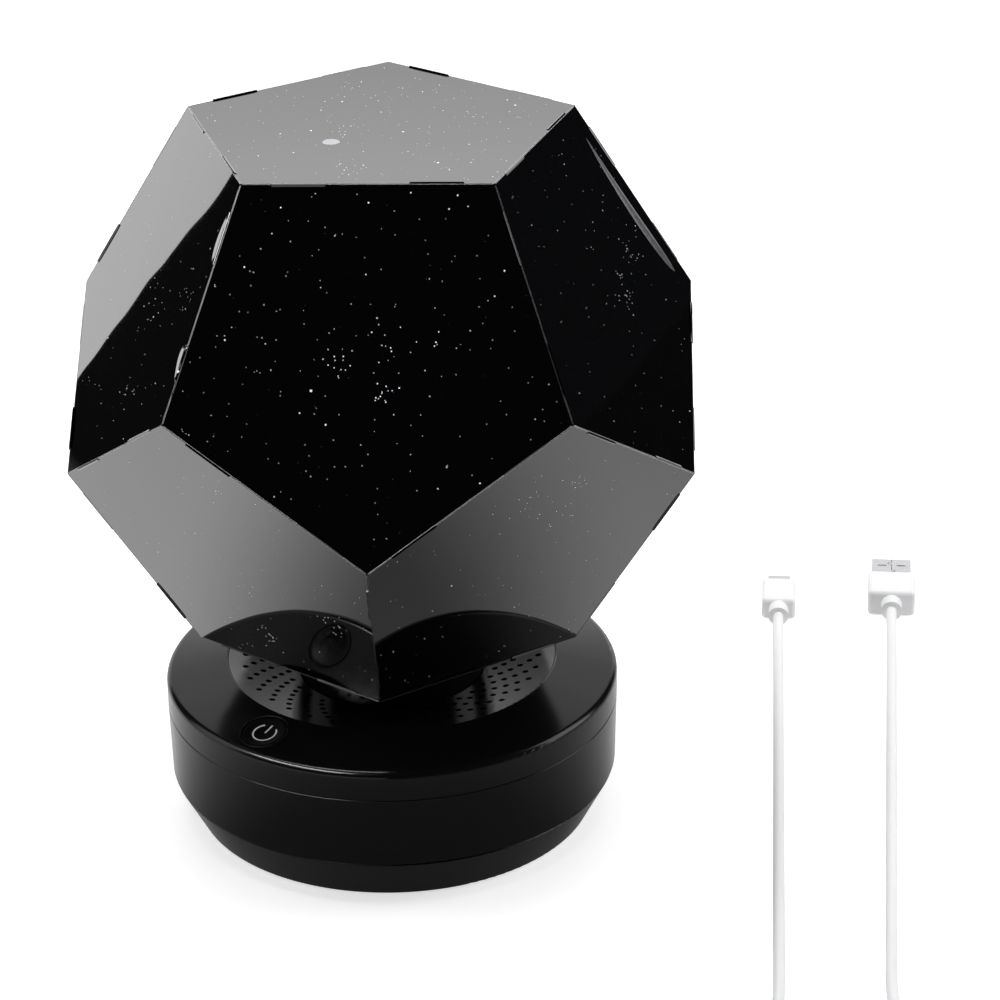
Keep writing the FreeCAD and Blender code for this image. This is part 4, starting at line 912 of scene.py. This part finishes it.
class PROJECTOR_OT_power_button(bpy.types.Operator):
    """Print the power symbol in the button's dish and fit the thin rim round the button's hole"""

    bl_idname = "projector.power_button"
    bl_label = "Power button"

    stroke = 0.44  # width of the symbol's lines
    raised, rooted = 0.04, -0.06  # their top over the dish and their underside in it
    arc_radius = 3.13
    arc_gap = 38.0  # degrees open on each side of the bar
    arc_steps = 48
    bar_start, bar_length, bar_steps = 0.1, 3.2, 6
    rim_radius = 0.2  # of the thin bead round the button's hole
    rim_z = -0.1
    rim_root = -0.4
    rim_steps = 72

    def stroke_ring(self, spot, across):
        """A stroke's cross-section at one spot of the dish, wide across the given direction."""
        ring = []
        for side, lift in [
            (-0.5, self.rooted), (0.5, self.rooted), (0.5, self.raised), (-0.5, self.raised)
        ]:
            at = spot + across * (side * self.stroke)
            ring.append((at.x, at.y, dish_z(math.hypot(at.x, at.y)) + lift))
        return ring

    def symbol_skin(self):
        """The power symbol: an open ring, with a bar in its gap."""
        skin = Skin(button_frame())
        rings = []
        for step in range(self.arc_steps + 1):
            turned = (360 - 2 * self.arc_gap) * step / self.arc_steps
            degrees = -180 + self.arc_gap + turned
            rings.append(self.stroke_ring(polar(self.arc_radius, degrees), polar(1, degrees)))
        skin.loft(rings)
        rings = []
        for step in range(self.bar_steps + 1):
            out = -self.bar_start - self.bar_length * step / self.bar_steps
            rings.append(self.stroke_ring(Vector((out, 0, 0)), Vector((0, 1, 0))))
        skin.loft(rings)
        return skin

    def rim_skin(self):
        """A thin half-round bead round the button's hole, with its root in the ring."""
        skin = Skin(button_frame())
        middle = BUTTON_HOLE_RADIUS + self.rim_radius
        rings = []
        for step in range(self.rim_steps):
            degrees = 360 / self.rim_steps * step
            ring = []
            for point in range(9):
                bulge = polar(self.rim_radius, 180 / 8 * point)
                ring.append(polar(middle + bulge.x, degrees, self.rim_z + bulge.y))
            rings.append(ring + [polar(middle, degrees, self.rim_root)])
        skin.loft(rings, loop=True)
        return skin

    def execute(self, context):
        symbol = self.symbol_skin().piece(
            "power_symbol", "symbol_ink", "power_button", "button_black", sharp=50
        )
        rim = self.rim_skin().piece("button_rim", "button_black", "base", "satin_black")
        for piece in (symbol, rim):
            piece.visible_glossy = False
        return {"FINISHED"}


class PROJECTOR_OT_plug_details(bpy.types.Operator):
    """Add the USB shell's seam and window leaves and the micro plug's catches and slots"""

    bl_idname = "projector.plug_details"
    bl_label = "Plug details"

    seam_width = 0.16
    seam_top, seam_under = 0.02, -0.1  # from the top of the USB shell
    # The seam's line: straight along the shell, with two dovetail lugs.
    seam_line = [
        (0, 19.9), (0, 22.3), (0.35, 22.6), (0.9, 22.5), (1.15, 23.0), (0.9, 23.6),
        (0.35, 23.5), (0, 23.8), (0, 27.4), (-0.35, 27.7), (-0.9, 27.6), (-1.15, 28.1),
        (-0.9, 28.7), (-0.35, 28.6), (0, 28.9), (0, 30.9),
    ]

    leaf_width = 2.8
    leaf_from, leaf_to = 24.6, 27.3
    leaf_top, leaf_under = -0.34, -0.62  # from the top of the USB shell

    # The micro plug's catches: Y, half width and height of each section.
    catch_sections = [(22.3, 0.35, 0.93), (23.3, 0.35, 1.15), (23.9, 0.3, 0.95)]
    slot_width = 0.8
    slot_from, slot_to = 21.3, 22.3
    slot_under, slot_top = 0.8, 0.915

    def plug_frame(self, route):
        """A plug's frame, from the first stretch of the lead's route."""
        start, after = Vector(route[0]), Vector(route[1])
        along = (start - after).normalized()
        across = along.cross(Vector((0, 0, 1)))
        turn = Matrix((across, along, (0, 0, 1))).transposed().to_4x4()
        return Matrix.Translation(start) @ turn

    def strip(self, skin, points, width, low, high):
        """A flat band of one width along a row of points in the plane of the shell's top."""
        rings = []
        for at, spot in enumerate(points):
            here, there = points[max(0, at - 1)], points[min(len(points) - 1, at + 1)]
            across = Vector((there[1] - here[1], here[0] - there[0], 0)).normalized() * (width / 2)
            mid = Vector((spot[0], spot[1], 0))
            rings.append([
                (*(mid - across).xy, low), (*(mid + across).xy, low),
                (*(mid + across).xy, high), (*(mid - across).xy, high),
            ])
        skin.loft(rings)

    def execute(self, context):
        usb = self.plug_frame(USB_ROUTE)
        top = USB_SHELL_TOP
        seam = Skin(usb)
        self.strip(
            seam, self.seam_line, self.seam_width, top + self.seam_under, top + self.seam_top
        )
        seam.piece("usb_shell_seam", "seam_and_painted_shade", "base", "plug_steel")

        # Behind each window of the shell lies the spring leaf that is pressed out of it.
        leaves = Skin(usb)
        for x in (-USB_WINDOW_X, USB_WINDOW_X):
            self.strip(
                leaves, [(x, self.leaf_from), (x, self.leaf_to)], self.leaf_width,
                top + self.leaf_under, top + self.leaf_top,
            )
        leaves.piece("usb_window_leaves", "plug_steel", "base", "plug_steel")

        micro = self.plug_frame(MICRO_ROUTE)
        catches, slots = Skin(micro), Skin(micro)
        low = MICRO_SHELL_INSIDE
        for x in (-MICRO_CATCH_X, MICRO_CATCH_X):
            catches.loft([
                [(x - half, y, low), (x + half, y, low), (x + half, y, high), (x - half, y, high)]
                for y, half, high in self.catch_sections
            ])
            self.strip(
                slots, [(x, self.slot_from), (x, self.slot_to)], self.slot_width,
                self.slot_under, self.slot_top,
            )
        catches.piece("micro_catches", "plug_steel", "base", "plug_steel")
        # The black under the slots is painted shade.
        slots.piece("micro_catch_slots", "seam_and_painted_shade", "base", "plug_steel")
        return {"FINISHED"}


class PROJECTOR_OT_stage(bpy.types.Operator):
    """Build the pale floor, the lamps and the surroundings"""

    bl_idname = "projector.stage"
    bl_label = "Stage"

    # All in metres.
    card_y = 0.6
    card_outline = [(-0.622, 0.0), (0.42, 0.0), (0.42, 0.9), (-0.4, 0.9), (-0.576, 0.165)]  # X, Z
    floor_half = 6.0
    floor_z = -0.0003  # just under the feet, so that no two faces lie in one plane
    # The dark patch below is a painted shadow in the floor's gloss.
    painted_shadow_middle = (0.004, -0.0745, 0.0)  # of the dark patch that gloss shows before the base

    def softbox(
        self, context, name, centre, aim, width, height, radiance, mirrored=True, matt=True
    ):
        """A flat lamp of even brightness, where radiance 1 mirrors as white.

        mirrored and matt say whether gloss shows it and whether matt surfaces take its light.
        """
        level = context.scene.projector_stage.lamp_level
        data = bpy.data.lights.new(name, "AREA")
        data.shape = "RECTANGLE"
        data.size = width
        data.size_y = height
        data.energy = radiance * math.pi * width * height * level
        lamp = add_object(name, data)
        lamp.visible_camera = False
        lamp.visible_glossy = mirrored
        lamp.visible_diffuse = matt
        centre = Vector(centre)
        facing = (Vector(aim) - centre).to_track_quat("-Z", "Y")
        lamp.matrix_world = Matrix.Translation(centre) @ facing.to_matrix().to_4x4()

    def flat_face(self, name, corners, material):
        """An object of one flat face."""
        data = bpy.data.meshes.new(name)
        data.from_pydata(corners, [], [tuple(range(len(corners)))])
        data.materials.append(material)
        return add_object(name, data)

    def back_card(self, context):
        """A tall bright card behind the object, leaning at its left end and dimmer half way up."""
        level = context.scene.projector_stage.lamp_level
        material, tree = new_tree("lit card")
        place = add_node(tree, "ShaderNodeTexCoord", {}).outputs["Object"]
        height = add_node(tree, "ShaderNodeSeparateXYZ", {}, {0: place}).outputs["Z"]
        lower = add_node(
            tree, "ShaderNodeMapRange",
            {"From Min": 0.2, "From Max": 0.36, "To Min": 1.12 * level, "To Max": 0.78 * level},
            {"Value": height},
        ).outputs["Result"]
        upper = add_node(
            tree, "ShaderNodeMapRange",
            {"From Min": 0.37, "From Max": 0.425, "To Min": 1.0, "To Max": 1.38},
            {"Value": height},
        ).outputs["Result"]
        radiance = add_node(
            tree, "ShaderNodeMath", {"operation": "MULTIPLY"}, {0: lower, 1: upper}
        ).outputs["Value"]
        lit = add_node(tree, "ShaderNodeEmission", {}, {"Strength": radiance})
        clear = add_node(tree, "ShaderNodeBsdfTransparent", {})
        unseen = add_node(
            tree, "ShaderNodeMath", {"operation": "MAXIMUM"},
            {
                0: add_node(tree, "ShaderNodeLightPath", {}).outputs["Is Camera Ray"],
                1: add_node(tree, "ShaderNodeNewGeometry", {}).outputs["Backfacing"],
            },
        ).outputs["Value"]
        mix = add_node(
            tree, "ShaderNodeMixShader", {},
            {0: unseen, 1: lit.outputs["Emission"], 2: clear.outputs["BSDF"]},
        )
        add_node(tree, "ShaderNodeOutputMaterial", {}, {"Surface": mix.outputs["Shader"]})
        corners = [(x, self.card_y, z) for x, z in self.card_outline]
        card = self.flat_face("back_card", corners, material)

    def floor_material(self, context):
        """Matt paper: white to the camera, with the object's shadow; pale near the object and dark
        far off as a painted pool of light, and a painted reflection in gloss.
        """
        colour = (*context.scene.projector_stage.floor_colour, 1.0)
        material, tree = new_tree("matt white paper")
        place = add_node(tree, "ShaderNodeTexCoord", {}).outputs["Object"]
        away = add_node(
            tree, "ShaderNodeVectorMath", {"operation": "LENGTH"}, {0: place}
        ).outputs["Value"]
        ray = add_node(tree, "ShaderNodeLightPath", {})
        seen = ray.outputs["Is Camera Ray"]
        near = add_node(
            tree, "ShaderNodeMapRange",
            {"From Min": 0.9, "From Max": 0.45, "interpolation_type": "SMOOTHSTEP"},
            {"Value": away},
        ).outputs["Result"]
        # Painted pool of light: the paper darkens far from the object, where the lamps' light
        # falls off.
        paper = add_node(
            tree, "ShaderNodeMix", {"data_type": "RGBA", 6: linear("#1C1C1C"), 7: colour},
            {0: near},
        ).outputs[2]
        to_camera = add_node(
            tree, "ShaderNodeMix", {"data_type": "RGBA", 7: linear("#EEEEEE")}, {0: seen, 6: paper}
        ).outputs[2]
        mirrored = ray.outputs["Is Glossy Ray"]
        to_all = add_node(
            tree, "ShaderNodeMix", {"data_type": "RGBA", 7: (0, 0, 0, 1)},
            {0: mirrored, 6: to_camera},
        ).outputs[2]
        glow = add_node(
            tree, "ShaderNodeMapRange", {"To Min": 1.0, "To Max": 0.68}, {"Value": near}
        ).outputs["Result"]
        to_eye = add_node(
            tree, "ShaderNodeMath", {"operation": "MULTIPLY"}, {0: seen, 1: glow}
        ).outputs["Value"]
        # In the object's own gloss the floor shows a painted reflection: a painted shadow at the
        # front of the base, pale all round it, and a little brighter towards the left, where the
        # light comes from.
        squeezed = add_node(
            tree, "ShaderNodeMapping", {"Scale": (1.0, 1.2, 1.0)}, {"Vector": place}
        ).outputs["Vector"]
        from_dark = add_node(
            tree, "ShaderNodeVectorMath", {"operation": "DISTANCE", 1: self.painted_shadow_middle},
            {0: squeezed},
        ).outputs["Value"]
        round_it = add_node(
            tree, "ShaderNodeMapRange",
            {
                "From Min": 0.056, "From Max": 0.146, "To Min": 0.168, "To Max": 0.88,
                "interpolation_type": "SMOOTHSTEP",
            },
            {"Value": from_dark},
        ).outputs["Result"]
        leftward = add_node(
            tree, "ShaderNodeMapRange",
            {"From Min": -0.3, "From Max": 0.3, "To Min": 1.42, "To Max": 0.58},
            {"Value": add_node(tree, "ShaderNodeSeparateXYZ", {}, {0: place}).outputs["X"]},
        ).outputs["Result"]
        pale = add_node(
            tree, "ShaderNodeMath", {"operation": "MULTIPLY"}, {0: round_it, 1: leftward}
        ).outputs["Value"]
        pale_near = add_node(
            tree, "ShaderNodeMath", {"operation": "MULTIPLY"}, {0: pale, 1: near}
        ).outputs["Value"]
        to_gloss = add_node(
            tree, "ShaderNodeMath", {"operation": "MAXIMUM", 1: 0.008}, {0: pale_near}
        ).outputs["Value"]
        strength = add_node(
            tree, "ShaderNodeMath", {"operation": "MULTIPLY_ADD"},
            {0: mirrored, 1: to_gloss, 2: to_eye},
        ).outputs["Value"]
        shader = add_node(
            tree, "ShaderNodeBsdfPrincipled",
            {"Roughness": 1.0, "Specular IOR Level": 0.0, "Emission Color": (1, 1, 1, 1)},
            {"Base Color": to_all, "Emission Strength": strength},
        )
        add_node(tree, "ShaderNodeOutputMaterial", {}, {"Surface": shader.outputs["BSDF"]})
        return material

    def surroundings(self):
        """A dim grey room that the camera sees as white."""
        world = bpy.data.worlds.new("studio")
        world.use_nodes = True
        tree = world.node_tree
        tree.nodes.clear()
        seen = add_node(tree, "ShaderNodeLightPath", {}).outputs["Is Camera Ray"]
        dim = add_node(tree, "ShaderNodeBackground", {"Color": (0.011, 0.011, 0.012, 1.0)})
        white = add_node(tree, "ShaderNodeBackground", {"Color": (1, 1, 1, 1)})
        mix = add_node(
            tree, "ShaderNodeMixShader", {},
            {0: seen, 1: dim.outputs["Background"], 2: white.outputs["Background"]},
        )
        add_node(tree, "ShaderNodeOutputWorld", {}, {"Surface": mix.outputs["Shader"]})
        return world

    def execute(self, context):
        half = self.floor_half
        outline = [(-half, -half), (half, -half), (half, half), (-half, half)]
        corners = [(x, y, self.floor_z) for x, y in outline]
        floor = self.flat_face("floor", corners, self.floor_material(context))
        context.scene.world = self.surroundings()

        ball = (0, 0, 0.1)
        self.softbox(
            context, "overhead_softbox", centre=(-0.05, 0.02, 1.25), aim=(0, 0, 0),
            width=0.8, height=0.8, radiance=5.9, mirrored=False,
        )
        self.back_card(context)
        self.softbox(
            context, "front_strip", centre=(-0.576, -0.45, 0.78), aim=ball,
            width=0.8, height=0.2, radiance=28.0, matt=False,
        )
        self.softbox(
            context, "left_softbox", centre=(-0.75, 0.02, 0.35), aim=ball,
            width=0.45, height=0.6, radiance=1.6,
        )
        self.softbox(
            context, "right_softbox", centre=(0.80, 0.10, 0.35), aim=ball,
            width=0.45, height=0.6, radiance=3.8,
        )
        context.scene.view_settings.view_transform = "Standard"
        return {"FINISHED"}


OPERATORS = (
    PROJECTOR_OT_camera,
    PROJECTOR_OT_usb_lead,
    PROJECTOR_OT_casing,
    PROJECTOR_OT_star_film,
    PROJECTOR_OT_star_print,
    PROJECTOR_OT_film_edges,
    PROJECTOR_OT_power_button,
    PROJECTOR_OT_plug_details,
    PROJECTOR_OT_stage,
)
SETTINGS = {
    "projector_film": FilmSettings,
    "projector_casing": CasingSettings,
    "projector_lead": LeadSettings,
    "projector_stage": StageSettings,
}


class VIEW3D_PT_projector(bpy.types.Panel):
    """The projector's settings and the steps that build its looks"""

    bl_label = "Planetarium projector"
    bl_space_type = "VIEW_3D"
    bl_region_type = "UI"
    bl_category = "Projector"

    def draw(self, context):
        for name, group in SETTINGS.items():
            box = self.layout.box()
            for setting in group.__annotations__:
                box.prop(getattr(context.scene, name), setting)
        for step in OPERATORS:
            self.layout.operator(step.bl_idname)


def register():
    for kind in (*SETTINGS.values(), *OPERATORS, VIEW3D_PT_projector):
        bpy.utils.register_class(kind)
    for name, group in SETTINGS.items():
        setattr(bpy.types.Scene, name, PointerProperty(type=group))


def unregister():
    for name in SETTINGS:
        delattr(bpy.types.Scene, name)
    for kind in (VIEW3D_PT_projector, *OPERATORS[::-1], *SETTINGS.values()):
        bpy.utils.unregister_class(kind)


def main():
    register()
    finishes.update(make_finishes())
    for step in OPERATORS:
        group, name = step.bl_idname.split(".")
        getattr(getattr(bpy.ops, group), name)()


if __name__ == "__main__":
    main()
